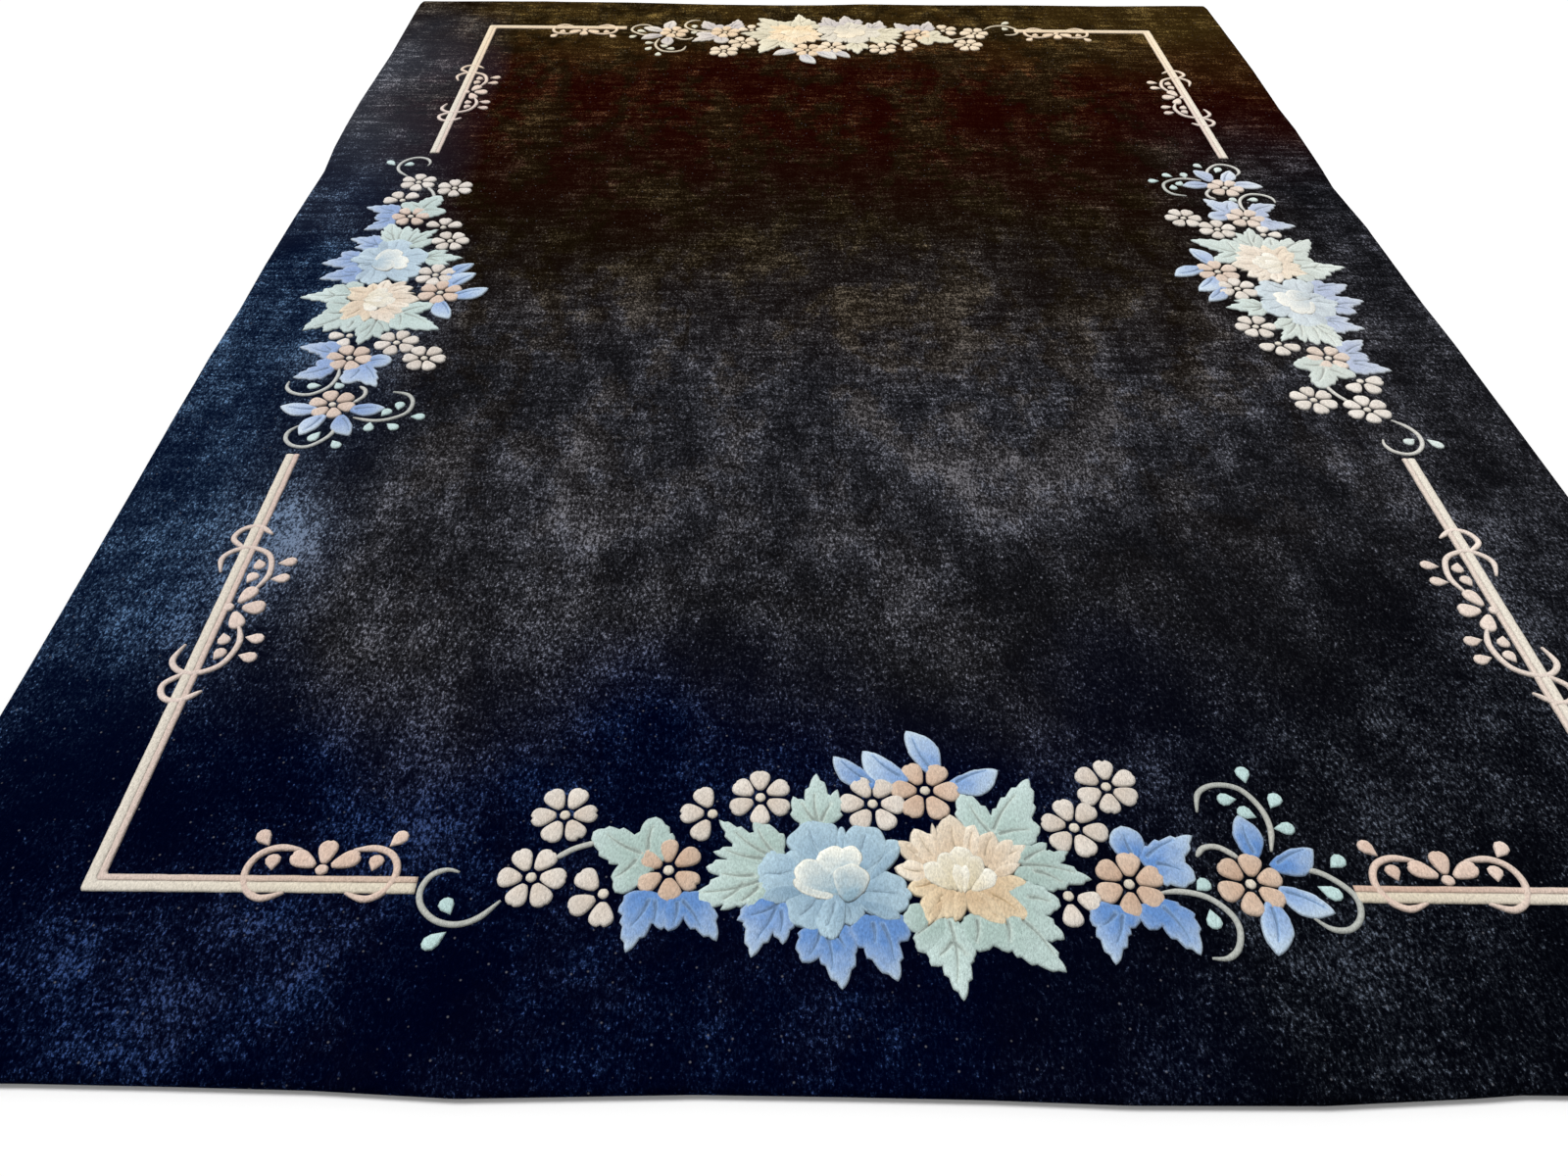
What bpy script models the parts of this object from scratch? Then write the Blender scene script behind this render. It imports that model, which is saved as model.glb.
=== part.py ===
"""Chinese rug: one thick wool pile mat with a carved flower design.

The rug lies flat. The origin is the middle of its underside, +X runs along
the short edge, +Y along the long edge and +Z is up. Lengths are in metres.
The layout tables are in millimetres and are drawn for one side of the rug:
x runs along the side from its middle, y runs inwards from the outer edge of
the border stripes.
"""
import math

import bmesh
import bpy
from mathutils import Vector
from mathutils.geometry import delaunay_2d_cdt

# Heights above the floor
PILE_TOP = 0.0150
LEAF_TOP = 0.0165
FLOWER_TOP = 0.0175
BUD_TOP = 0.0183
RIM_HEIGHT = 0.0100
FOOT_INSET = 0.0020
RIM_INSET = 0.0050
CORNER_CUT = 0.0140

# Border rectangle, measured to the outer edge of the stripes
BORDER_HALF_WIDTH = 1.1086
BORDER_HALF_LENGTH = 1.5942
DESIGN_CENTRE_X = 0.0105
DESIGN_CENTRE_Y = 0.0080
NEAR_SIDE_TURN = -0.62
SPRAY_GAP_HALF = 0.650
STRIPE_WIDTH = 0.0260

MM = 0.001

# How the flower spray of each side differs from the drawn one, knotted by hand:
# shift along the side, shift inwards, stretch along the side, rise along the side
SPRAY_FIT = {
    "near": (0, 0, 1.0, 0.011),
    "right": (-14, 20, 0.965, 0.035),
    "far": (-18, 18, 1.0, 0.022),
    "left": (-1, 0, 0.965, 0.048),
}

# Outer edge of the mat: place along the edge, distance from the rug's middle
NEAR_EDGE = [
    (-1290, 1824), (-1080, 1826), (-900, 1830), (-722, 1835), (-542, 1845),
    (-247, 1841), (-68, 1844), (110, 1848), (288, 1855), (525, 1856),
    (708, 1848), (770, 1844), (1050, 1847), (1290, 1846),
]
RIGHT_EDGE = [
    (-1760, 1376), (-1300, 1374), (-704, 1374), (-239, 1374), (-79, 1369),
    (287, 1370), (499, 1358), (613, 1365), (861, 1373), (995, 1370),
    (1289, 1378), (1760, 1377),
]
FAR_EDGE = [
    (-1290, 1852), (-1150, 1847), (-992, 1841), (-716, 1844), (-438, 1838),
    (-164, 1841), (-26, 1828), (113, 1824), (387, 1827), (662, 1840),
    (936, 1843), (1290, 1835),
]
LEFT_EDGE = [
    (-1760, 1378), (-1375, 1372), (-1015, 1379), (-853, 1377), (-702, 1372),
    (-560, 1360), (-302, 1365), (-73, 1366), (131, 1362), (315, 1365),
    (559, 1362), (770, 1358), (1218, 1352), (1760, 1353),
]

# Blossoms: x, y, radius, first petal's angle, angle to the next, petal count
BLOSSOMS = [
    (-494, 32, 47, 0, 60, 6),
    (-461, 132, 47, 3, 60, 6),
    (-391, 7, 46, 137, 69, 3),
    (-304, 43, 48, 34, 60, 6),
    (-247, 134, 44, 112, 65, 3),
    (-178, 162, 47, 30, 60, 6),
    (-13, 151, 47, 0, 60, 6),
    (66, 174, 50, 56, 60, 6),
    (250, 3, 46, 270, 75, 2),
    (277, 111, 47, 47, 60, 6),
    (337, 181, 47, 27, 60, 6),
    (338, 21, 50, 20, 60, 6),
    (508, 21, 48, 19, 60, 6),
]

# Leaves: base x and y, then the tips of the lobes from one side to the other
LEAVES = [
    ((-315, 60), [(-302, 103), (-329, 128), (-417, 104), (-374, 9)]),
    ((-93, 115), [(-66, 176), (-95, 203), (-129, 164)]),
    ((-170, 55), [(-151, 85), (-187, 120), (-232, 122), (-234, 77)]),
    ((-175, 40), [(-271, -9), (-226, -17), (-199, -20)]),
    ((155, 106), [(226, 111), (222, 194), (118, 167)]),
    ((190, 48), [(285, 28), (233, 84)]),
    ((78, -22), [(18, -35), (38, -77)]),
    ((82, -30), [(53, -96), (89, -143), (106, -88)]),
    ((155, -25), [(127, -78), (160, -80), (226, -103), (238, -15)]),
    ((-311, -5), [(-367, -20), (-352, -76), (-305, -38)]),
    ((-291, -8), [(-295, -50), (-232, -60), (-250, -18)]),
    ((-150, -5), [(-203, -31), (-185, -83), (-145, -65)]),
    ((-75, -30), [(-124, -65), (-66, -128), (-47, -55)]),
    ((-20, -30), [(-46, -76), (8, -116), (24, -58)]),
    ((370, 60), [(431, 30), (442, 95)]),
    ((312, -15), [(276, -37), (296, -94), (332, -39)]),
    ((379, -10), [(350, -46), (410, -80)]),
]

# Single leaves: base x and y, tip x and y, width
BLADES = [
    (-7, 183, -68, 232, 28),
    (35, 196, -23, 244, 34),
    (78, 208, 46, 282, 38),
    (105, 187, 177, 210, 34),
    (345, 60, 350, 114, 42),
    (523, 57, 521, 129, 36),
    (545, 45, 612, 75, 34),
    (547, 12, 610, -22, 34),
    (525, -7, 517, -82, 36),
]

# Drops: middle x and y, direction of the point, length
DROPS = [
    (-601, -12, 0, 28), (-608, -60, 50, 35), (548, 202, 270, 28),
    (581, 156, 225, 28), (582, 110, 180, 28), (512, 159, 0, 28),
    (535, 135, 320, 28), (640, 55, 225, 28), (615, 9, 135, 28),
    (440, 19, 200, 28), (442, -31, 90, 28),
]

# Tendrils: points along the middle of each stroke
TENDRILS = [
    [(-595, 40), (-635, 35), (-643, 12), (-635, -14), (-600, -36), (-555, -28), (-530, -3)],
    [(-462, 63), (-440, 78), (-415, 86)],
    [(375, 7), (442, 1), (474, -40), (462, -78), (427, -87)],
    [(501, 64), (478, 80), (443, 66)],
    [(552, 72), (562, 112), (552, 155), (518, 182), (484, 178), (462, 137)],
    [(557, 40), (610, 38), (648, 2), (640, -36), (605, -48), (581, -30)],
]

# Blue peony: lobes as x, y, radius; cream peony: tips of the pointed petals
ROUND_PEONY_LOBES = [
    (-105, 84, 36), (-28, 82, 37), (-146, 38, 36), (-126, -18, 37),
    (-84, -30, 36), (-22, -12, 38), (4, 28, 32), (-75, 30, 62),
]
POINTED_PEONY_CENTRE = (110, 48)
POINTED_PEONY_TIPS = [
    (202, 84), (163, 106), (132, 120), (100, 133), (44, 110), (8, 41),
    (28, 10), (46, -38), (85, -37), (154, -38), (190, -28), (192, 30),
]
PEONY_BUDS = [(-47, 31, 25), (103, 45, 42)]

# Scrolls over the border, drawn about their own middle.
# Petals: x, y, direction, length, width
SHORT_SCROLL_AT = 787
SHORT_SCROLL_PETALS = [(0, 63, 90, 36, 26), (-29, 50, 150, 40, 26), (29, 50, 30, 40, 26)]
SHORT_SCROLL_HOOK = [(38, 68), (72, 69), (104, 34), (86, -5), (42, 4)]
SHORT_SCROLL_DROPS = [(95, 84, 235, 26), (73, 44, 180, 26)]
LONG_SCROLL_AT = 1055
LONG_SCROLL_PETALS = [(0, 68, 90, 38, 30), (-27, 47, 150, 40, 26), (27, 47, 30, 40, 26)]
LONG_SCROLL_HOOK = [(39, 55), (80, 69), (128, 55), (143, 15), (122, -24), (83, -17)]
LONG_SCROLL_CURL = [(184, 41), (203, 5), (178, -22), (146, 5)]
LONG_SCROLL_DROPS = [(69, 91, 260, 32), (109, 92, 260, 32), (70, 41, 180, 26), (104, 44, 0, 26)]

STROKE_WIDTH = 9.5
DROP_WIDTH = 18


def polar(x, y, radius, degrees):
    """Point at a distance and direction from x, y."""
    angle = math.radians(degrees)
    return (x + radius * math.cos(angle), y + radius * math.sin(angle))


def blossom_outline(x, y, radius, first, step, count):
    """Flower outline with a notch between its petals."""
    points = []
    for petal in range(count):
        angle = first + petal * step
        points.append(polar(x, y, radius, angle))
        if count == 6 or petal < count - 1:
            points.append(polar(x, y, radius * 0.68, angle + step / 2))
    if count < 6:
        middle = first + step * (count - 1) / 2
        points.append(polar(x, y, radius * 0.25, middle + 180))
    return points


def leaf_outline(base, tips):
    """Lobed leaf: a tip and a notch for every lobe, drawn from its base."""
    bx, by = base
    reach = [(math.degrees(math.atan2(ty - by, tx - bx)), math.hypot(tx - bx, ty - by)) for tx, ty in tips]
    points = [(bx, by)]
    for index, tip in enumerate(tips):
        points.append(tip)
        if index < len(tips) - 1:
            turn = wrapped(reach[index + 1][0] - reach[index][0])
            shorter = min(reach[index][1], reach[index + 1][1])
            points.append(polar(bx, by, shorter * 0.62, reach[index][0] + turn / 2))
    return points


def wrapped(degrees):
    """Angle brought between -180 and 180 degrees."""
    return (degrees + 180) % 360 - 180


def blade_outline(base_x, base_y, tip_x, tip_y, width):
    """Single pointed leaf, widest a little below its middle."""
    along = Vector((tip_x - base_x, tip_y - base_y))
    side = Vector((-along.y, along.x)).normalized() * width / 2
    start = Vector((base_x, base_y))
    points = [start]
    points.append(start + along * 0.36 - side)
    points.append(start + along * 0.74 - side * 0.66)
    points.append(start + along)
    points.append(start + along * 0.74 + side * 0.66)
    points.append(start + along * 0.36 + side)
    return [(point.x, point.y) for point in points]


def petal_outline(x, y, direction, length, width):
    """Rounded petal about its own middle, narrower at its root."""
    points = [(-0.5, 0.0), (0.05, -0.48), (0.46, -0.26), (0.46, 0.26), (0.05, 0.48)]
    return placed(points, x, y, direction, length, width)


def drop_outline(x, y, direction, length, width=DROP_WIDTH):
    """Small drop about its own middle with a point at one end."""
    points = [(0.5, 0.0), (-0.15, 0.5), (-0.5, 0.0), (-0.15, -0.5)]
    return placed(points, x, y, direction, length, width)


def placed(points, x, y, direction, length, width):
    """Unit outline stretched, turned and moved to its place."""
    angle = math.radians(direction)
    ca = math.cos(angle)
    sa = math.sin(angle)
    result = []
    for u, v in points:
        result.append((x + u * length * ca - v * width * sa, y + u * length * sa + v * width * ca))
    return result


def stroke_outline(points, width=STROKE_WIDTH):
    """Ribbon along a line of points, pointed at both ends."""
    left = []
    right = []
    for index in range(1, len(points) - 1):
        before = Vector(points[index - 1])
        here = Vector(points[index])
        after = Vector(points[index + 1])
        along = (after - before).normalized()
        side = Vector((-along.y, along.x)) * width / 2
        left.append(here + side)
        right.append(here - side)
    outline = [Vector(points[0])] + left + [Vector(points[-1])] + right[::-1]
    return [(point.x, point.y) for point in outline]


def round_outline(x, y, radius, corners=8):
    """Round lobe with a few corners."""
    return [polar(x, y, radius, 360 * corner / corners + 22.5) for corner in range(corners)]


def pointed_peony_outline():
    """Ring of pointed petals with notches between them."""
    cx, cy = POINTED_PEONY_CENTRE
    points = []
    count = len(POINTED_PEONY_TIPS)
    for index, tip in enumerate(POINTED_PEONY_TIPS):
        following = POINTED_PEONY_TIPS[(index + 1) % count]
        points.append(tip)
        notch_x = cx + ((tip[0] + following[0]) / 2 - cx) * 0.80
        notch_y = cy + ((tip[1] + following[1]) / 2 - cy) * 0.80
        points.append((notch_x, notch_y))
    return points


def mirrored(points):
    """Outline turned over about the middle line of a scroll."""
    return [(-x, y) for x, y in points]


def moved(points, shift):
    """Outline moved along the side."""
    return [(x + shift, y) for x, y in points]


def spray_shapes():
    """Top height and outline of every flower, leaf and tendril of one side."""
    shapes = []
    for base, tips in LEAVES:
        shapes.append((LEAF_TOP, leaf_outline(base, tips)))
    for row in BLADES:
        shapes.append((LEAF_TOP, blade_outline(*row)))
    for row in DROPS:
        shapes.append((LEAF_TOP, drop_outline(*row)))
    for points in TENDRILS:
        shapes.append((LEAF_TOP, stroke_outline(points)))
    for row in BLOSSOMS:
        shapes.append((FLOWER_TOP, blossom_outline(*row)))
    for row in ROUND_PEONY_LOBES:
        shapes.append((FLOWER_TOP, round_outline(*row)))
    shapes.append((FLOWER_TOP, pointed_peony_outline()))
    for row in PEONY_BUDS:
        shapes.append((BUD_TOP, round_outline(*row)))
    return shapes


def scroll_shapes(is_short):
    """Pair of scrolls that lie over the border stripes of one side."""
    petals = SHORT_SCROLL_PETALS if is_short else LONG_SCROLL_PETALS
    hooks = [SHORT_SCROLL_HOOK] if is_short else [LONG_SCROLL_HOOK, LONG_SCROLL_CURL]
    drops = SHORT_SCROLL_DROPS if is_short else LONG_SCROLL_DROPS
    place = SHORT_SCROLL_AT if is_short else LONG_SCROLL_AT
    shapes = []
    for petal in petals:
        shapes.append((FLOWER_TOP, petal_outline(*petal)))
    halves = [(LEAF_TOP, stroke_outline(hook)) for hook in hooks]
    halves += [(LEAF_TOP, drop_outline(*drop)) for drop in drops]
    for top, outline in halves:
        shapes.append((top, outline))
        shapes.append((top, mirrored(outline)))
    both = []
    for centre in (-place, place):
        both += [(top, moved(outline, centre)) for top, outline in shapes]
    return both


def side_frame(name):
    """Middle of a side, its direction along and its direction inwards."""
    middles = {
        "near": (0.0, -BORDER_HALF_LENGTH, NEAR_SIDE_TURN),
        "right": (BORDER_HALF_WIDTH, 0.0, 90.0),
        "far": (0.0, BORDER_HALF_LENGTH, 180.0),
        "left": (-BORDER_HALF_WIDTH, 0.0, -90.0),
    }
    x, y, turn = middles[name]
    angle = math.radians(turn)
    middle = Vector((x + DESIGN_CENTRE_X, y + DESIGN_CENTRE_Y))
    along = Vector((math.cos(angle), math.sin(angle)))
    return middle, along, Vector((-along.y, along.x))


def fitted(name, outline):
    """Outline of the flower spray as it was knotted on one side."""
    shift_x, shift_y, stretch, rise = SPRAY_FIT[name]
    return [(x * stretch + shift_x, y + shift_y + x * rise) for x, y in outline]


def on_side(name, outline):
    """Outline in millimetres of one side brought to its place on the rug."""
    middle, along, inwards = side_frame(name)
    return [middle + along * x * MM + inwards * y * MM for x, y in outline]


def border_corner(first_side, second_side):
    """Bent border stripe from one side's end around the corner to the next."""
    middle_a, along_a, inwards_a = side_frame(first_side)
    middle_b, along_b, inwards_b = side_frame(second_side)
    outline = []
    for depth in (0.0, STRIPE_WIDTH):
        start = middle_a + along_a * SPRAY_GAP_HALF + inwards_a * depth
        end = middle_b - along_b * SPRAY_GAP_HALF + inwards_b * depth
        corner = crossing(start, along_a, end, along_b)
        outline.append([start, corner, end])
    return outline[0] + outline[1][::-1]


def crossing(point_a, along_a, point_b, along_b):
    """Where two lines of the plane meet."""
    across = along_a.cross(along_b)
    reach = (point_b - point_a).cross(along_b) / across
    return point_a + along_a * reach


def mat_outline(inset):
    """Slightly uneven outline of the mat, drawn in by an inset.

    The first and last place of every edge only give the line to the corner.
    """
    sides = [(NEAR_EDGE, 0), (RIGHT_EDGE, 90), (FAR_EDGE, 180), (LEFT_EDGE, 270)]
    runs = []
    for table, turn in sides:
        angle = math.radians(turn)
        along = Vector((math.cos(angle), math.sin(angle)))
        outwards = Vector((along.y, -along.x))
        runs.append([along * a * MM + outwards * (b * MM - inset) for a, b in table])
    outline = []
    for index, run in enumerate(runs):
        following = runs[(index + 1) % 4]
        outline += run[1:-1]
        corner = crossing(run[-1], run[-1] - run[-2], following[0], following[1] - following[0])
        into = (corner - run[-1]).normalized()
        away = (following[0] - corner).normalized()
        cut = CORNER_CUT - inset
        outline.append(corner - into * cut)
        outline.append(corner - into * cut * 0.29 + away * cut * 0.29)
        outline.append(corner + away * cut)
    return outline


def winds_around(point, outline):
    """True where the outline winds around the point."""
    turns = 0
    count = len(outline)
    for index in range(count):
        a = outline[index]
        b = outline[(index + 1) % count]
        if (a.y <= point.y) != (b.y <= point.y):
            side = (b.x - a.x) * (point.y - a.y) - (b.y - a.y) * (point.x - a.x)
            if b.y > a.y and side > 0:
                turns += 1
            elif b.y < a.y and side < 0:
                turns -= 1
    return turns != 0


class Shape:
    """Outline with its top height and its box."""

    def __init__(self, top, outline):
        self.top = top
        self.outline = outline
        self.low_x = min(point.x for point in outline)
        self.high_x = max(point.x for point in outline)
        self.low_y = min(point.y for point in outline)
        self.high_y = max(point.y for point in outline)

    def covers(self, point):
        """True where the point lies inside the outline."""
        if not self.low_x < point.x < self.high_x:
            return False
        if not self.low_y < point.y < self.high_y:
            return False
        return winds_around(point, self.outline)


def design_shapes():
    """Every raised outline of the rug."""
    shapes = []
    order = ["near", "right", "far", "left"]
    for index, name in enumerate(order):
        for top, outline in spray_shapes():
            shapes.append(Shape(top, on_side(name, fitted(name, outline))))
        for top, outline in scroll_shapes(name in ("near", "far")):
            shapes.append(Shape(top, on_side(name, outline)))
        corner = border_corner(name, order[(index + 1) % 4])
        shapes.append(Shape(FLOWER_TOP, corner))
    return shapes


def height_at(point, shapes):
    """Height of the highest raised shape over a point of the pile."""
    height = PILE_TOP
    for shape in shapes:
        if shape.top > height and shape.covers(point):
            height = shape.top
    return height


def split_plane(points, edges):
    """Triangles of the plane that keep every given edge."""
    result = delaunay_2d_cdt(points, edges, [], 0, 1e-5, False)
    return result[0], [list(face) for face in result[2]]


def loop_edges(first, count):
    """Edges of a closed loop of points."""
    return [(first + index, first + (index + 1) % count) for index in range(count)]


def face_heights(points, faces, shapes):
    """Height of every triangle of the plane."""
    heights = []
    for face in faces:
        middle = (points[face[0]] + points[face[1]] + points[face[2]]) / 3
        heights.append(height_at(middle, shapes))
    return heights


def step_edges(faces, heights):
    """Edges between triangles of unlike height, with both heights."""
    owners = {}
    for index, face in enumerate(faces):
        for corner in range(3):
            key = (face[corner], face[(corner + 1) % 3])
            owners[key] = heights[index]
    steps = []
    for (a, b), height in owners.items():
        other = owners.get((b, a))
        if other is not None and height > other:
            steps.append((a, b, other, height))
    return steps


def pile_plan(rim, shapes):
    """Points and triangles of the pile top with only the edges it needs."""
    points = list(rim)
    edges = loop_edges(0, len(rim))
    for shape in shapes:
        edges += loop_edges(len(points), len(shape.outline))
        points += shape.outline
    points, faces = split_plane(points, edges)
    heights = face_heights(points, faces, shapes)
    steps = step_edges(faces, heights)
    kept = list(rim)
    places = {}
    edges = loop_edges(0, len(rim))
    for a, b, _, _ in steps:
        for corner in (a, b):
            if corner not in places:
                places[corner] = len(kept)
                kept.append(points[corner])
        edges.append((places[a], places[b]))
    points, faces = split_plane(kept, edges)
    inside = Shape(PILE_TOP, rim)
    faces = [face for face in faces if inside.covers(sum((points[i] for i in face), Vector((0, 0))) / 3)]
    return points, faces, face_heights(points, faces, shapes)


def wall_faces(a, b, low, high, levels):
    """Triangles of the upright wall between two heights over one edge."""
    left = [(a, height) for height in sorted(levels[a]) if low <= height <= high]
    right = [(b, height) for height in sorted(levels[b]) if low <= height <= high]
    faces = []
    i = 0
    j = 0
    while i < len(left) - 1 or j < len(right) - 1:
        if j < len(right) - 1 and (i == len(left) - 1 or right[j + 1][1] <= left[i + 1][1]):
            faces.append([left[i], right[j], right[j + 1]])
            j += 1
        else:
            faces.append([left[i], right[j], left[i + 1]])
            i += 1
    return faces


def rug_mesh():
    """Closed mesh of the mat with its raised design."""
    rim = mat_outline(RIM_INSET)
    shapes = design_shapes()
    points, faces, heights = pile_plan(rim, shapes)
    levels = {index: set() for index in range(len(points))}
    for face, height in zip(faces, heights):
        for corner in face:
            levels[corner].add(height)
    work = bmesh.new()
    verts = {}
    for index, tops in levels.items():
        for height in tops:
            verts[(index, height)] = work.verts.new((points[index].x, points[index].y, height))
    for face, height in zip(faces, heights):
        work.faces.new([verts[(corner, height)] for corner in face])
    for a, b, low, high in step_edges(faces, heights):
        for face in wall_faces(a, b, low, high, levels):
            work.faces.new([verts[corner] for corner in face])
    close_underside(work, [verts[(index, PILE_TOP)] for index in range(len(rim))])
    mesh = bpy.data.meshes.new("rug")
    work.to_mesh(mesh)
    work.free()
    return mesh


def close_underside(work, rim_verts):
    """Rounded side rings and the flat underside."""
    above = rim_verts
    for inset, height in ((0.0, RIM_HEIGHT), (0.0, FOOT_INSET), (FOOT_INSET, 0.0)):
        ring = [work.verts.new((point.x, point.y, height)) for point in mat_outline(inset)]
        count = len(ring)
        for index in range(count):
            following = (index + 1) % count
            work.faces.new([above[index], ring[index], ring[following], above[following]])
        above = ring
    work.faces.new(above[::-1])


def wool_material():
    """Dark blue wool pile."""
    material = bpy.data.materials.new("wool_pile")
    material.use_nodes = True
    shader = material.node_tree.nodes["Principled BSDF"]
    shader.inputs["Base Color"].default_value = (0.012, 0.020, 0.055, 1.0)
    shader.inputs["Roughness"].default_value = 0.9
    return material


def build():
    """Clear the scene and build the rug."""
    for existing in list(bpy.data.objects):
        bpy.data.objects.remove(existing, do_unlink=True)
    collection = bpy.data.collections.new("chinese_rug")
    bpy.context.scene.collection.children.link(collection)
    rug = bpy.data.objects.new("rug", rug_mesh())
    rug.data.materials.append(wool_material())
    collection.objects.link(rug)


build()
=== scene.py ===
"""Chinese rug: thick wool pile with a carved flower design, dressed for its portrait.

Lengths are in metres where nothing else is said. The layout tables are in
millimetres and are drawn for one side of the rug: x runs along the side from
its middle, y runs inwards from the outer edge of the border stripes.
"""
import math
import random

import bmesh
import bpy
import numpy as np
from mathutils import Matrix, Vector, noise
from mathutils.geometry import delaunay_2d_cdt


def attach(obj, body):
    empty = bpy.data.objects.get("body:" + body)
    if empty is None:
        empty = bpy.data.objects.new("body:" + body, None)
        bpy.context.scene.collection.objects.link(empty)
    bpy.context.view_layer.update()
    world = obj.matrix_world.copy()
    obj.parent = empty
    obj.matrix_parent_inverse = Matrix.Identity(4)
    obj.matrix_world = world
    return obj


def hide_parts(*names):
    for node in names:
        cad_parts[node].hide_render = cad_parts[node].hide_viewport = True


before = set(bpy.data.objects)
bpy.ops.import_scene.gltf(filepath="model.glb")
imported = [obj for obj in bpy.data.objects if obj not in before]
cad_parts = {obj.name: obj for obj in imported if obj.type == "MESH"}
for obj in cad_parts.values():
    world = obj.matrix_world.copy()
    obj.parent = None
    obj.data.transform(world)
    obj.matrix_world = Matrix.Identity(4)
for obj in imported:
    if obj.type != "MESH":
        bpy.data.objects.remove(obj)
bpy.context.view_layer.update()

MM = 0.001

# Heights of the pile, in millimetres above the floor
PILE_TOP = 15.0
SKIRT_FOOT = 13.4
SKIRT_SPREAD = 0.7

# Sides of the rug in the order of its turn
SIDES = ("near", "right", "far", "left")

# Border rectangle, measured to the outer edge of the stripes
BORDER_HALF_WIDTH = 1108.6
BORDER_HALF_LENGTH = 1594.2
DESIGN_CENTRE = (10.5, 8.0)
NEAR_SIDE_TURN = -0.62
SPRAY_GAP_HALF = 650

# Stripes of the border: name, wool, near side, far side
STRIPES = [
    ("stripe_ivory", "wool_ivory", 0.0, 15.8),
    ("stripe_rose", "wool_stripe_rose", 15.5, 25.8),
]

# Section of a stripe: share of its width, height above the pile (None at its foot)
RIB_SECTION = [
    (-0.06, None), (0.0, 1.0), (0.10, 1.9), (0.30, 2.6), (0.50, 2.8),
    (0.70, 2.6), (0.90, 1.9), (1.0, 1.0), (1.06, None),
]
RIB_STEP = 7
RIB_WANDER = 0.7

# How the flower spray of each side differs from the drawn one, knotted by hand:
# shift along the side, shift inwards, stretch along the side, rise along the side
SPRAY_FIT = {
    "near": (0, 0, 1.0, 0.011),
    "right": (-14, 20, 0.965, 0.035),
    "far": (-18, 18, 1.0, 0.022),
    "left": (-1, 0, 0.965, 0.048),
}

# Outer edge of the mat: place along the edge, distance from the rug's middle
NEAR_EDGE = [
    (-1290, 1824), (-1080, 1826), (-900, 1830), (-722, 1835), (-542, 1845),
    (-247, 1841), (-68, 1844), (110, 1848), (288, 1855), (525, 1856),
    (708, 1848), (770, 1844), (1050, 1847), (1290, 1846),
]
RIGHT_EDGE = [
    (-1760, 1376), (-1300, 1374), (-704, 1374), (-239, 1374), (-79, 1369),
    (287, 1370), (499, 1358), (613, 1365), (861, 1373), (995, 1370),
    (1289, 1378), (1760, 1377),
]
FAR_EDGE = [
    (-1290, 1852), (-1150, 1847), (-992, 1841), (-716, 1844), (-438, 1838),
    (-164, 1841), (-26, 1828), (113, 1824), (387, 1827), (662, 1840),
    (936, 1843), (1290, 1835),
]
LEFT_EDGE = [
    (-1760, 1378), (-1375, 1372), (-1015, 1379), (-853, 1377), (-702, 1372),
    (-560, 1360), (-302, 1365), (-73, 1366), (131, 1362), (315, 1365),
    (559, 1362), (770, 1358), (1218, 1352), (1760, 1353),
]

# The mat's dark pile: middling half size, grid of its top, and the steps of its
# side below the top: inset, height
MAT_HALF_WIDTH = 1370
MAT_HALF_LENGTH = 1850
GROUND_COLUMNS = 218
GROUND_ROWS = 292
SIDE_STEPS = ((0.0, 9.0), (0.0, 2.0), (3.0, 0.0))
# Its shape: length for one of width, crowding of the grid to the rim, fall of the
# pile at the rim and the width of that fall, swells of the top as height and scale
MAT_ASPECT = 1.345
CROWDING = 1.12
EDGE_FALL = 3.6
EDGE_FALL_WIDTH = 13
SWELLS = ((0.55, 3.1), (0.30, 11), (0.22, 38))
# Its corners: depth of the cut, and the sum of both shares where the cut starts
CORNER_CUT = 4.2
CORNER_START = 1.985
# How far from the middle a point of the side lies at least, in metres
SIDE_FROM = (1.34, 1.81)

# Carving of an island: rings of points inside its rim, clear strips beside the rim
# and the veins, width of the rounded shoulder, share of the height at the rim,
# depth where the puff levels out, depth of the veins, widths of the painted rim
# highlight and shade and of the painted light and shade in the grooves
RIM_RINGS = (1.2, 3.0)
CLEAR_OF_RIM = 4.4
CLEAR_OF_VEIN = 4.2
SHOULDER_WIDTH = 3.4
RIM_SHARE = 0.28
PUFF_WIDTH = 8
VEIN_DEPTH = 0.8
RIM_PAINT = 5
GROOVE_PAINT = 3.5
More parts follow.
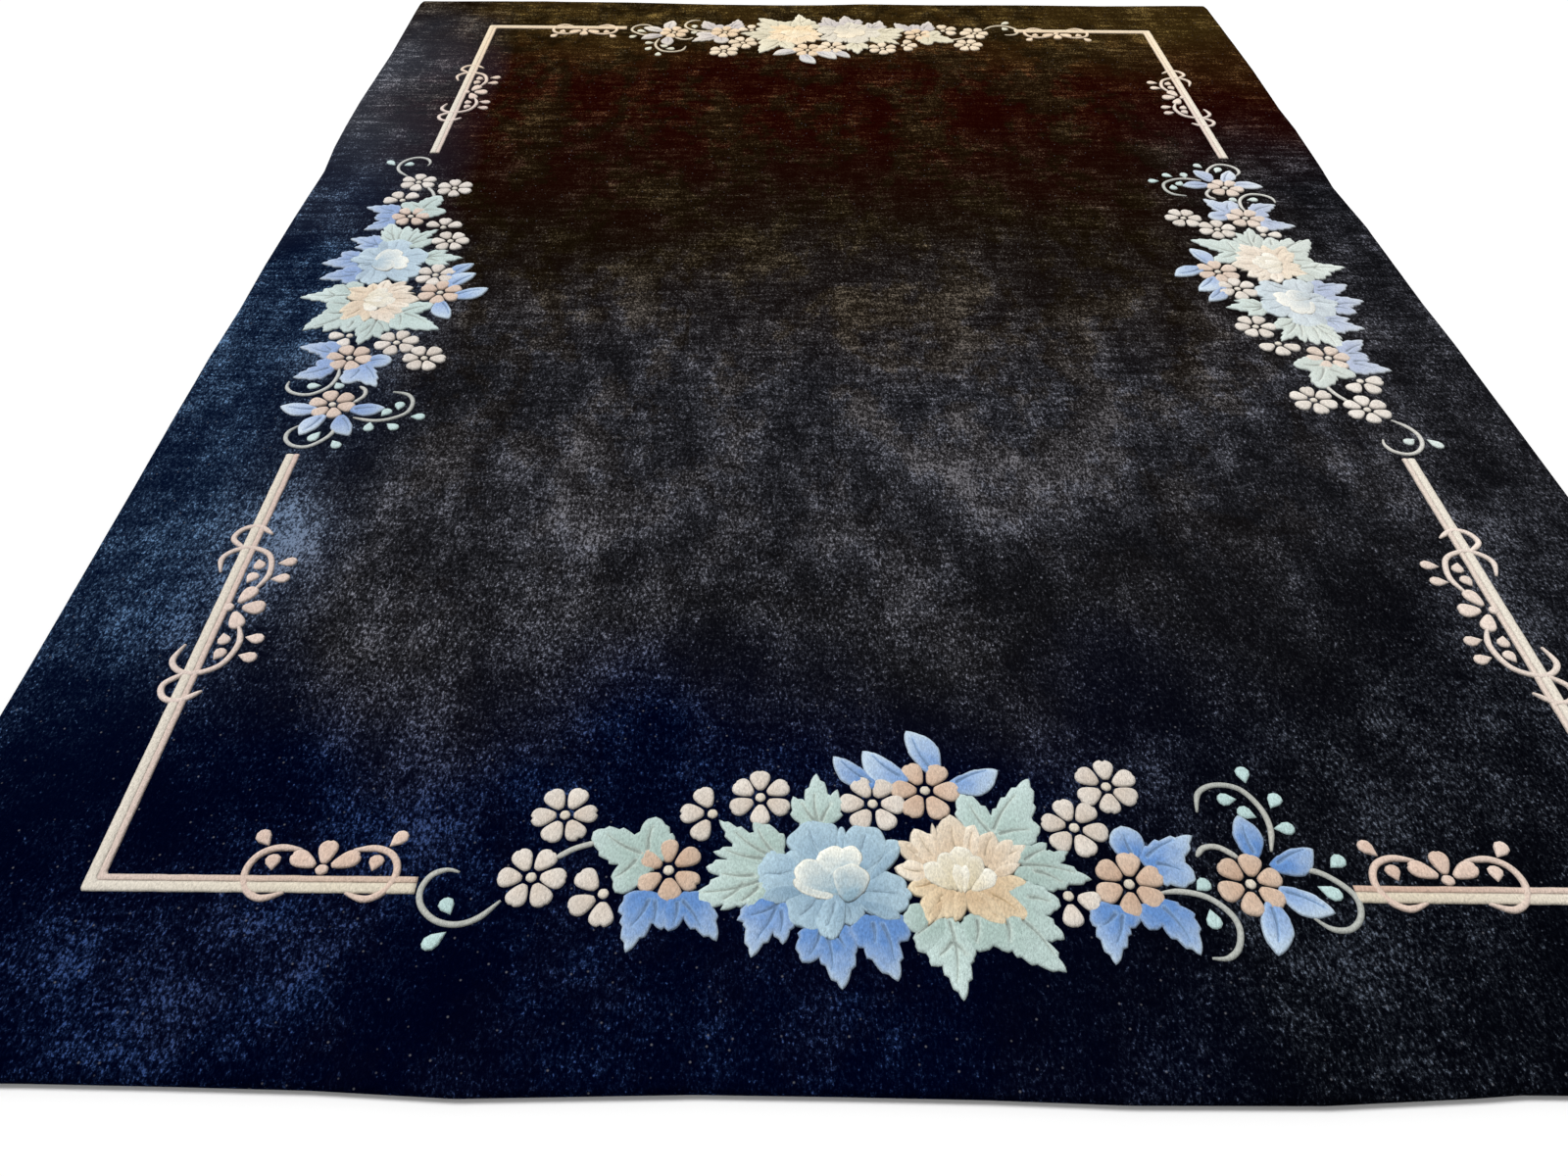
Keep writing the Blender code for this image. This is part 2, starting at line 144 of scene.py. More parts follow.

# Wools of the design: colour at the root, at the tip and in the veins (painted light and shade of
# the grooves), light left at the rim by painted shade
WOOLS = {
    "wool_pale_rose": ((216, 202, 188), (224, 216, 206), (190, 160, 140), 0.74),
    "wool_peach": ((206, 174, 150), (214, 190, 170), (150, 115, 95), 0.74),
    "wool_heart": ((226, 216, 198), (230, 222, 208), (150, 115, 95), 0.74),
    "wool_cream": ((223, 201, 174), (239, 228, 210), (216, 198, 172), 0.45),
    "wool_tan": ((212, 185, 150), (234, 216, 184), (210, 182, 142), 0.42),
    "wool_bud": ((226, 214, 184), (244, 241, 228), (216, 206, 174), 0.42),
    "wool_ivory": ((222, 210, 188), (226, 216, 196), (180, 165, 130), 0.74),
    "wool_mint": ((176, 199, 192), (204, 223, 220), (206, 220, 212), 0.66),
    "wool_blue": ((102, 145, 206), (194, 213, 230), (146, 180, 222), 0.66),
    "wool_sky": ((140, 170, 192), (176, 202, 216), (160, 186, 204), 0.54),
    "wool_sky_ivory": ((150, 180, 196), (248, 248, 236), (140, 160, 172), 0.50),
    "wool_stalk": ((196, 196, 188), (182, 186, 180), (120, 120, 110), 0.74),
    "wool_drop": ((190, 218, 216), (194, 222, 220), (120, 150, 140), 0.74),
    "wool_rose": ((220, 192, 174), (232, 210, 196), (130, 95, 80), 0.74),
    "wool_stripe_rose": ((212, 180, 162), (216, 192, 174), (130, 95, 80), 0.60),
}

# Painted light of the room on the wools, paler and warmer towards some sides: axis,
# place where the tint starts and where it is full in metres, strength, colour
PAINTED_LIGHT_TINTS = [
    (0, 0.75, 1.05, 0.42, (252, 246, 238)),
    (0, -0.75, -1.05, 0.22, (240, 240, 246)),
    (1, 0.95, 1.45, 0.58, (250, 224, 182)),
]

# Tones of the dark pile: deep colour, colour where painted sheen lights it
PILE_TONES = {
    "navy": ((0, 2, 22), (33, 49, 84)),
    "sea": ((2, 10, 34), (70, 94, 122)),
    "soot": ((3, 4, 10), (60, 66, 76)),
    "slate": ((12, 12, 15), (86, 87, 95)),
    "dusk": ((44, 46, 54), (110, 112, 120)),
    "umber": ((18, 8, 3), (80, 72, 62)),
    "russet": ((27, 2, 1), (78, 50, 32)),
    "bronze": ((42, 29, 9), (100, 82, 44)),
    "olive": ((18, 11, 3), (66, 56, 36)),
}
# Place towards the far end in metres, tone there: in the middle and along two sides. The change of
# tone along the mat is partly the pile's own colour and partly painted sheen.
FIELD_TONES = [
    (-1.42, "navy"), (-1.12, "slate"), (-0.40, "slate"), (0.25, "umber"),
    (0.85, "russet"), (1.20, "russet"), (1.70, "bronze"),
]
LEFT_TONES = [
    (-1.60, "navy"), (-0.90, "sea"), (0.20, "sea"), (0.90, "dusk"),
    (1.30, "dusk"), (1.75, "umber"),
]
RIGHT_TONES = [
    (-1.50, "soot"), (-0.60, "slate"), (0.50, "slate"), (1.10, "russet"),
    (1.60, "bronze"),
]
TONES_REACH = 1.85

# Painted sheen at its fullest, as a multiple of the pile's sheen colour
FULL_SHEEN_LIGHT = 2.5

# Stretch of the broad patches and of the three kinds of painted sheen strokes
PATCH_STRETCH = (1.25, 0.95, 1.0)
CROSSWISE = (8.0, 50.0, 1.0)
LENGTHWISE = (85.0, 11.0, 1.0)
BROAD = (15.0, 4.0, 1.0)

# Patches of painted sheen where the pile lies over, painted shade where the light is below nought:
# x, y, radius in metres, light there
SHEEN_PATCHES = [
    (0.06, -0.40, 0.42, 0.4), (0.28, -0.74, 0.30, 0.6), (0.46, -1.02, 0.24, -1.1),
    (0.76, -0.88, 0.34, -1.4), (-0.72, -1.04, 0.42, 0.45), (-0.30, -0.82, 0.30, 0.2),
    (0.26, -1.20, 0.30, -0.4), (-0.70, -1.38, 0.40, 0.55), (-0.70, 0.32, 0.42, -0.8),
    (-0.10, 0.66, 0.46, -0.4), (0.62, 0.10, 0.34, -0.6), (1.32, -0.40, 0.45, -0.7),
    (-1.12, -0.95, 0.34, 1.4), (-1.30, -0.68, 0.26, -1.1), (-1.22, -1.42, 0.30, -1.3),
    (-0.92, -1.66, 0.34, 0.35), (-0.55, -1.74, 0.20, -0.8), (0.10, -1.70, 0.42, -0.6),
    (0.85, -1.32, 0.28, 0.3), (-0.92, -0.48, 0.36, -1.0),
]

# Camera over the near edge: place in metres, angles in degrees, lens in millimetres
CAMERA_PLACE = (-0.1501, -2.3249, 1.4092)
CAMERA_PITCH = 46.399
CAMERA_YAW = 0.9305
CAMERA_ROLL = 0.8295
CAMERA_LENS = 25.39

# Light of the room, of the window and of the far wall
ROOM_LIGHT = 0.42
WINDOW_LIGHT = 2.63
WINDOW_WIDTH = 18
WINDOW_PLACE = (-2.6, 2.2, 4.4)
WALL_LIGHT = 20
WALL_SIZE = 3.2
WALL_PLACE = (0.2, 3.0, 2.0)
WALL_AIM = (0.2, 2.6, 2.0)
FLOOR_COLOUR = (0.93, 0.93, 0.93, 1)

# Blossoms: x, y, radius, first petal's angle, angle to the next, petal count
PALE_BLOSSOMS = [
    (-494, 32, 48, 0, 60, 6),
    (-461, 132, 48, 3, 60, 6),
    (-391, 7, 50, 137, 69, 3),
    (-247, 134, 48, 112, 65, 3),
    (-178, 162, 47, 30, 60, 6),
    (-13, 151, 48, 0, 60, 6),
    (250, 3, 46, 270, 75, 2),
    (277, 111, 48, 47, 60, 6),
    (337, 181, 48, 27, 60, 6),
]
PEACH_BLOSSOMS = [
    (-304, 43, 49, 34, 60, 6),
    (66, 174, 51, 56, 60, 6),
    (338, 21, 51, 20, 60, 6),
    (508, 21, 49, 19, 60, 6),
]
# Radius of a blossom whose petals have the drawn width
BLOSSOM_RADIUS = 48
HEART_RADIUS = 7.5
PETAL_START = 13
PETAL_WIDTH = 31

# Shape of a blossom petal: place from root to tip, half width
PETAL_SHAPE = [
    (0.0, 0.13), (0.12, 0.25), (0.35, 0.40), (0.60, 0.50), (0.80, 0.47),
    (0.94, 0.31), (1.0, 0.14),
]

# Edge of a leaf: teeth, their depth, place of the widest part from root to tip
SINGLE_LEAF_EDGE = (3, 1.2, 0.52)
TOOTH_LENGTH = 22
TOOTH_DEPTH = 5.4
LOBE_BELLY = 0.42

# Leaves of each colour. Lobes: root x and y, tip x and y, width, roundness, bend
# Veins: start x and y, end x and y
MINT_LEAVES = [
    (
        [(-338, 66, -417, 104, 56, 0.7, 3), (-330, 60, -329, 129, 50, 0.8, 0),
         (-335, 72, -375, 9, 50, 0.7, 0),
         (-318, 58, -303, 102, 30, 0.6, 0)],
        [(-348, 70, -394, 97), (-335, 76, -333, 108), (-352, 56, -372, 34)],
    ),
    (
        [(-93, 108, -95, 204, 44, 0.15, 0), (-96, 112, -130, 164, 34, 0.2, 3),
         (-88, 110, -64, 176, 32, 0.15, -3)],
        [(-94, 120, -98, 166), (-99, 122, -114, 146), (-88, 122, -76, 146)],
    ),
    (
        [(-158, 62, -237, 124, 36, 0.1, 4), (-150, 56, -187, 123, 42, 0.15, -4),
         (-160, 60, -243, 72, 34, 0.2, 0)],
        [(-168, 68, -212, 102), (-158, 70, -180, 106), (-172, 60, -222, 72)],
    ),
    (
        [(-160, 30, -274, -10, 50, 0.3, -4), (-170, 40, -252, 48, 36, 0.6, 0),
         (-185, 22, -229, -17, 28, 0.1, 2),
         (-166, 20, -199, -21, 28, 0.1, 2), (-160, 16, -180, -8, 26, 0.3, 0)],
        [(-170, 28, -250, 8), (-200, 20, -224, -2), (-178, 16, -199, -4), (-186, 34, -226, 36)],
    ),
    (
        [(160, 92, 223, 195, 56, 0.25, -5), (158, 96, 117, 168, 50, 0.6, 4),
         (160, 94, 228, 112, 48, 0.7, -3),
         (190, 130, 212, 150, 40, 0.8, 0)],
        [(152, 104, 130, 146), (160, 108, 198, 164), (168, 100, 208, 106)],
    ),
    (
        [(180, 42, 287, 28, 46, 0.15, 2), (188, 50, 233, 86, 38, 0.2, -2),
         (205, 46, 262, 72, 28, 0.15, 0),
         (200, 36, 250, 14, 28, 0.2, 0)],
        [(190, 50, 264, 38), (198, 58, 226, 74), (212, 40, 240, 26)],
    ),
    (
        [(66, -22, 18, -36, 44, 0.8, 0), (72, -28, 36, -77, 44, 0.7, 3)],
        [(64, -28, 36, -54)],
    ),
    (
        [(82, -28, 90, -144, 46, 0.2, 0), (82, -48, 52, -97, 40, 0.5, 2),
         (84, -50, 108, -89, 38, 0.5, -2)],
        [(82, -36, 84, -118), (81, -66, 66, -82), (84, -66, 98, -80)],
    ),
    (
        [(122, -22, 118, -78, 52, 0.8, 0), (150, -24, 156, -79, 46, 0.7, 0),
         (158, -24, 229, -106, 52, 0.15, -5),
         (160, 10, 237, -12, 50, 0.7, 0), (180, -24, 234, -60, 36, 0.4, 0)],
        [(120, -34, 116, -62), (160, -36, 160, -62), (182, -34, 216, -82), (196, 0, 222, -6)],
    ),
]
BLUE_LEAVES = [
    (
        [(-322, 10, -352, -78, 46, 0.15, -3), (-322, 4, -368, -20, 40, 0.5, 0),
         (-318, 4, -307, -46, 36, 0.4, 0)],
        [(-328, -6, -346, -40), (-318, -8, -318, -36)],
    ),
    (
        [(-286, 6, -232, -62, 46, 0.15, 4), (-288, 4, -298, -48, 36, 0.5, 0),
         (-280, 4, -250, -18, 34, 0.5, 0)],
        [(-288, -8, -290, -36), (-280, -6, -254, -44)],
    ),
    (
        [(-154, 4, -186, -85, 46, 0.15, -4), (-152, 2, -206, -32, 38, 0.2, 2),
         (-146, -4, -144, -67, 34, 0.15, 0)],
        [(-154, -12, -186, -26), (-154, -16, -176, -56), (-146, -20, -146, -48)],
    ),
    (
        [(-84, -36, -66, -129, 52, 0.15, 4), (-88, -38, -118, -92, 46, 0.5, 0),
         (-76, -38, -50, -84, 38, 0.5, 0)],
        [(-94, -52, -106, -80), (-86, -52, -78, -100), (-76, -50, -62, -70)],
    ),
    (
        [(-18, -24, 7, -118, 52, 0.2, -4), (-24, -26, -42, -72, 42, 0.7, 0),
         (-8, -26, 24, -62, 38, 0.6, 0)],
        [(-22, -38, -20, -62), (-8, -42, 3, -88)],
    ),
    ([(-5, 180, -69, 235, 37, 0.35, 6)], [(-14, 188, -56, 224)]),
    ([(42, 190, -24, 245, 46, 0.35, 9)], [(28, 200, -8, 234)]),
    ([(84, 202, 45, 283, 46, 0.35, -5)], [(78, 212, 54, 266)]),
    ([(101, 180, 179, 210, 44, 0.35, -7)], [(114, 188, 160, 208)]),
    ([(352, 58, 345, 114, 50, 0.75, 0)], [(350, 70, 346, 98)]),
    (
        [(362, 56, 445, 98, 48, 0.15, -5), (372, 50, 433, 28, 52, 0.7, 3),
         (380, 50, 424, 60, 34, 0.7, 0)],
        [(372, 64, 412, 88), (384, 52, 414, 42)],
    ),
    (
        [(312, -10, 296, -96, 46, 0.15, -3), (308, -12, 275, -40, 40, 0.6, 0),
         (318, -14, 333, -44, 38, 0.6, 0)],
        [(318, -28, 303, -66), (308, -26, 292, -40)],
    ),
    (
        [(370, -4, 412, -83, 52, 0.15, 5), (366, -8, 351, -47, 38, 0.6, 0)],
        [(378, -16, 402, -62)],
    ),
    ([(524, 60, 520, 132, 42, 0.3, -3)], [(525, 72, 522, 112)]),
    ([(545, 46, 613, 76, 42, 0.3, -6)], [(556, 54, 598, 74)]),
    ([(544, 13, 612, -23, 40, 0.3, -4)], [(554, 8, 596, -14)]),
    ([(529, -4, 515, -84, 43, 0.3, 3)], [(526, -16, 520, -64)]),
]

# Tendrils: points along the middle of each stroke
TENDRILS = [
    [(-595, 40), (-612, 44), (-633, 35), (-643, 12), (-636, -12), (-613, -32), (-583, -38),
     (-555, -28), (-530, -3)],
    [(-464, 62), (-440, 77), (-410, 87)],
    [(375, 7), (406, 10), (442, 1), (467, -22), (474, -46), (465, -73), (447, -87), (426, -87)],
    [(502, 62), (478, 79), (456, 78), (443, 64)],
    [(552, 72), (562, 110), (557, 145), (535, 177), (500, 184), (472, 170), (462, 137)],
    [(557, 40), (600, 42), (630, 25), (649, 0), (645, -28), (625, -46), (600, -46), (580, -30)],
]
TENDRIL_WIDTH = 8.6

# Drops: middle x and y, direction of the point, length
DROPS = [
    (-601, -12, 300, 27), (-608, -60, 40, 35), (548, 202, 270, 29),
    (581, 156, 235, 29), (582, 110, 180, 30), (512, 159, 0, 28),
    (535, 135, 330, 28), (640, 55, 215, 28), (615, 9, 150, 34),
    (440, 19, 215, 24), (442, -31, 95, 29),
]
DROP_WIDTH = 23

# Blue peony. Petals: root x and y, tip x and y, width, root's share of the width,
# wave of the edge, height above the pile
SKY_PETALS = [
    (-76, -20, -76, 96, 150, 1.0, 0.03, 0.0),
    (-84, 50, -112, 119, 82, 0.55, 0.06, 1.0),
    (-62, 68, -60, 112, 15, 0.60, 0.00, 1.6),
    (-12, 62, 22, 87, 30, 0.60, 0.02, 0.6),
    (-38, 36, -22, 114, 72, 0.55, 0.05, 1.2),
    (-112, 38, -182, 36, 76, 0.60, 0.06, 0.8),
    (-108, 12, -173, 0, 30, 0.60, 0.03, 1.5),
    (-84, 10, -130, -38, 70, 0.55, 0.07, 1.2),
    (-68, 10, -88, -58, 44, 0.60, 0.05, 1.8),
    (-58, 8, 30, 4, 78, 0.55, 0.07, 1.1),
    (2, 12, 34, 2, 24, 0.70, 0.02, 0.6),
    (-40, -6, 16, -30, 26, 0.60, 0.04, 1.9),
    (-24, 24, 22, 79, 19, 0.75, 0.02, 2.2),
    (-60, 8, -48, -40, 44, 0.60, 0.04, 0.7),
    (-60, -6, -80, -63, 22, 0.70, 0.02, 2.8),
]
SKY_BUD_PETALS = [
    (-68, 8, -75, 80, 58, 0.50, 0.02, 2.3),
    (-58, 28, -45, 80, 38, 0.60, 0.02, 3.0),
    (-62, 4, -125, 50, 54, 0.50, 0.03, 2.7),
    (-56, -8, -45, 51, 56, 0.60, 0.04, 3.9),
]
SKY_BUD_FOLD = [(-128, 28), (-118, 14), (-98, 5), (-74, 1)]

# Cream peony. Petals: root x and y, tip x and y, width, teeth of the edge,
# height above the pile
CREAM_PETALS = [
    (102, 52, 98, 133, 60, 2, 0.9), (116, 56, 132, 119, 34, 1, 1.3),
    (86, 54, 78, 114, 15, 0, 1.4), (74, 50, 44, 109, 46, 2, 1.1),
    (66, 50, 18, 89, 36, 2, 0.8), (78, 58, 71, 118, 14, 0, 1.9),
    (62, 36, 12, 46, 36, 2, 1.3), (136, 48, 157, 106, 42, 1, 1.1),
    (144, 44, 203, 82, 34, 2, 0.8), (150, 50, 186, 93, 28, 1, 1.4),
    (148, 32, 191, 52, 19, 0, 1.9),
]
TAN_PETALS = [
    (138, 22, 197, 22, 32, 2, 0.9), (126, 18, 193, -32, 46, 2, 0.8),
    (108, 10, 159, -42, 38, 1, 1.5), (118, 6, 150, -30, 14, 0, 2.2),
    (74, 24, 27, 12, 36, 1, 0.9), (86, 16, 45, -39, 44, 2, 1.0),
    (92, 12, 78, -34, 30, 1, 1.4), (74, -6, 52, -42, 14, 0, 2.1),
    (105, 12, 89, -38, 22, 1, 2.3),
]
# Its cupped middle, in the blue peony's columns
CREAM_BUD_PETALS = [
    (106, 30, 108, 80, 42, 0.50, 0.03, 2.2), (90, 10, 56, 53, 36, 0.45, 0.03, 2.4),
    (96, 8, 82, 70, 34, 0.40, 0.02, 2.8), (116, 8, 152, 40, 34, 0.45, 0.03, 2.4),
    (110, 8, 131, 64, 34, 0.40, 0.02, 2.8), (102, 4, 99, 51, 23, 0.45, 0.02, 3.5),
    (106, 4, 112, 50, 20, 0.50, 0.02, 3.3),
]

# Scrolls over the border, drawn about their own middle.
# Petals: x, y, direction, length, width
SHORT_SCROLL_AT = 787
SHORT_SCROLL = {
    "petals": [(0, 63, 90, 36, 27), (-30, 50, 155, 40, 26), (30, 50, 25, 40, 26)],
    "heart": (0, 35),
    "hooks": [[(36, 66), (70, 69), (95, 57), (105, 32), (96, 5), (72, -9), (42, 0)]],
    "drops": [(95, 84, 230, 30), (72, 46, 260, 25)],
}
LONG_SCROLL_AT = 1055
LONG_SCROLL = {
    "petals": [(0, 68, 90, 38, 30), (-29, 48, 155, 40, 26), (29, 48, 25, 40, 26)],
    "heart": (0, 26),
    "hooks": [
        [(39, 55), (79, 69), (125, 56), (144, 21), (139, -8), (117, -26), (83, -17)],
        [(180, 44), (200, 14), (193, -13), (167, -22), (143, 6)],
    ],
    "drops": [(69, 91, 262, 32), (109, 92, 258, 32), (70, 41, 200, 26), (104, 44, 340, 26)],
}
SCROLL_WIDTH = 9.8


def spline(points, closed, step):
    """Smooth line through points, in pieces of about one step."""
    points = [np.array(point, float) for point in points]
    count = len(points)
    result = []
    for index in range(count if closed else count - 1):
        if closed:
            a, b, c, d = (points[(index + k) % count] for k in (-1, 0, 1, 2))
        else:
            a = points[max(index - 1, 0)]
            b = points[index]
            c = points[index + 1]
            d = points[min(index + 2, count - 1)]
        pieces = max(1, round(np.linalg.norm(c - b) / step))
        for piece in range(pieces):
            t = piece / pieces
            square = (2 * a - 5 * b + 4 * c - d) * t**2
            cube = (3 * b - a - 3 * c + d) * t**3
            result.append(0.5 * (2 * b + (c - a) * t + square + cube))
    if not closed:
        result.append(points[-1])
    return np.array(result)


def lobe_outline(
    root_x, root_y, tip_x, tip_y, width, roundness, bend, teeth=0, depth=2.6, belly=0.42
):
    """Outline of one lobe or petal about its own axis, with teeth that lean to its tip."""
    root = np.array((root_x, root_y), float)
    axis = np.array((tip_x, tip_y), float) - root
    length = np.linalg.norm(axis)
    across = np.array((-axis[1], axis[0])) / length
    left = []
    right = []
    steps = max(9, round(length / 4))
    for index in range(steps):
        t = index / steps
        if t < belly:
            half = math.sin(math.pi / 2 * (t + 0.06) / (belly + 0.06)) ** 0.7
        else:
            q = (t - belly) / (1 - belly)
            half = (1 - q ** (1.5 + 0.7 * roundness)) ** (1 - 0.5 * roundness)
        half *= width / 2
        middle = root + axis * t + across * bend * math.sin(math.pi * t) * 1.2
        bite = depth * min(1, half / 8) * (t > 0.12) if teeth else 0
        notch = [bite * ((t * teeth + lag) % 1 - 0.5) for lag in (0.1, 0.55)]
        left.append(middle + across * (half + notch[0]))
        right.append(middle - across * (half + notch[1]))
    return np.array(right + [root + axis] + left[::-1])


def fan_outline(root_x, root_y, tip_x, tip_y, width, root_share, wave):
    """Outline of a broad petal: narrow at its root, round and softly waved outside."""
    root = np.array((root_x, root_y), float)
    axis = np.array((tip_x, tip_y), float) - root
    length = np.linalg.norm(axis)
    across = np.array((-axis[1], axis[0])) / length
    count = max(14, round((length + width) / 3.2))
    points = []
    for index in range(count):
        angle = 2 * math.pi * index / count
        place = (math.cos(angle) + 1) / 2
        squeeze = root_share + (1 - root_share) * min(1, place * 1.5)
        swell = 1 + wave * math.cos(6 * angle + width) * place
        point = root + axis * (0.5 + 0.5 * math.cos(angle) * swell)
        points.append(point + across * math.sin(angle) * width / 2 * squeeze * swell)
    return np.array(points)


def petal_outline(x, y, direction, length, width, notch=0.0):
    """Rounded petal about its own middle, narrower at its root, with a notch in its tip."""
    points = [((u - 0.5) * length, v * width) for u, v in PETAL_SHAPE]
    points += [((0.97 - notch - 0.5) * length, 0.0)]
    points += [((u - 0.5) * length, -v * width) for u, v in PETAL_SHAPE[::-1]]
    return turned(spline(points[::-1], True, 4), x, y, direction)


def round_outline(x, y, half_length, half_width, turn, wave):
    """Round petal with a softly waved edge."""
    count = max(12, round((half_length + half_width) / 2.2))
    angles = np.arange(count) * 2 * math.pi / count
    swell = 1 + wave * np.cos(angles * 5 + half_length)
    x_places = half_length * swell * np.cos(angles)
    y_places = half_width * swell * np.sin(angles)
    return turned(np.stack([x_places, y_places], axis=1), x, y, turn)


def drop_outline(x, y, direction, length, width):
    """Small drop about its own middle with a point at one end."""
    shape = [(0.5, 0.0), (0.28, 0.20), (0.02, 0.42), (-0.26, 0.46), (-0.46, 0.26), (-0.52, 0.0)]
    points = [(u * length, v * width) for u, v in shape]
    points += [(u * length, -v * width) for u, v in shape[-2:0:-1]]
    return turned(np.array(points), x, y, direction)


def stroke_outline(points, width):
    """Ribbon along a smooth line, narrowing to its ends."""
    line = spline(points, False, 5)
    count = len(line)
    along = np.gradient(line, axis=0)
    along /= np.linalg.norm(along, axis=1)[:, None]
    across = np.stack([-along[:, 1], along[:, 0]], axis=1)
    place = np.arange(count) / (count - 1)
    half = width / 2 * np.clip(np.minimum(place, 1 - place) * 5 + 0.34, 0, 1)[:, None]
    right = line - across * half
    left = line + across * half
    return np.concatenate([right, left[::-1]])


def turned(points, x, y, degrees):
    """Points turned and moved to their place."""
    angle = math.radians(degrees)
    turn = np.array([[math.cos(angle), math.sin(angle)], [-math.sin(angle), math.cos(angle)]])
    return np.asarray(points) @ turn + (x, y)


def winds_around(points, loop):
    """Which points a closed outline winds around."""
    x = points[:, 0, None]
    y = points[:, 1, None]
    a = loop
    b = np.roll(loop, -1, axis=0)
    side = (b[:, 0] - a[:, 0]) * (y - a[:, 1]) - (b[:, 1] - a[:, 1]) * (x - a[:, 0])
    up = (a[:, 1] <= y) & (b[:, 1] > y) & (side > 0)
    down = (a[:, 1] > y) & (b[:, 1] <= y) & (side < 0)
    return up.sum(axis=1) != down.sum(axis=1)


def distance_to(points, starts, ends):
    """Distance of every point to the nearest of some straight pieces."""
    along = ends - starts
    from_start = points[:, None, :] - starts[None]
    t = (from_start * along).sum(axis=2) / np.maximum((along**2).sum(axis=1), 1e-9)
    t = np.clip(t, 0, 1)
    gap = from_start - t[:, :, None] * along
    return np.sqrt((gap**2).sum(axis=2)).min(axis=1)


def triangles(points, edges):
    """Points and triangles of the plane that keep every given edge."""
    result = delaunay_2d_cdt([Vector(point) for point in points], edges, [], 0, 1e-4, False)
    points = np.array([tuple(point) for point in result[0]])
    return points, np.array([list(face) for face in result[2]])


def loop_edges(first, count):
    """Edges of a closed loop of points."""
    return [(first + index, first + (index + 1) % count) for index in range(count)]


def joined_outline(outlines):
    """Outer loops of overlapping outlines taken together."""
    if len(outlines) == 1:
        return [np.array(outlines[0])]
    points = []
    edges = []
    for outline in outlines:
        edges += loop_edges(len(points), len(outline))
        points += list(outline)
    points, faces = triangles(points, edges)
    middles = points[faces].mean(axis=1)
    inside = np.zeros(len(faces), bool)
    for outline in outlines:
        inside |= winds_around(middles, outline)
    directed = set()
    for face in faces[inside]:
        directed |= {(face[k], face[(k + 1) % 3]) for k in range(3)}
    onward = {a: b for a, b in directed if (b, a) not in directed}
    loops = []
    while onward:
        here = next(iter(onward))
        loop = []
        while here in onward:
            loop.append(here)
            here = onward.pop(here)
        loops.append(points[loop])
    return [loop for loop in loops if len(loop) > 5]


def evenly(loop, shortest, longest):
    """Loop without crowded points and without long straight pieces."""
    kept = [loop[0]]
    for point in loop[1:]:
        if np.linalg.norm(point - kept[-1]) > shortest:
            kept.append(point)
    if np.linalg.norm(kept[0] - kept[-1]) < shortest:
        kept.pop()
    result = []
    for index, point in enumerate(kept):
        following = kept[(index + 1) % len(kept)]
        pieces = max(1, round(np.linalg.norm(following - point) / longest))
        result += [point + (following - point) * piece / pieces for piece in range(pieces)]
    return np.array(result)


def inward(loop):
    """Direction to the inside at every point of a loop that runs left about."""
    along = np.roll(loop, -1, axis=0) - np.roll(loop, 1, axis=0)
    along /= np.maximum(np.linalg.norm(along, axis=1), 1e-9)[:, None]
    return np.stack([-along[:, 1], along[:, 0]], axis=1)


def runs_left(loop):
    """True for a loop that runs left about."""
    following = np.roll(loop, -1, axis=0)
    return (loop[:, 0] * following[:, 1] - following[:, 0] * loop[:, 1]).sum() > 0


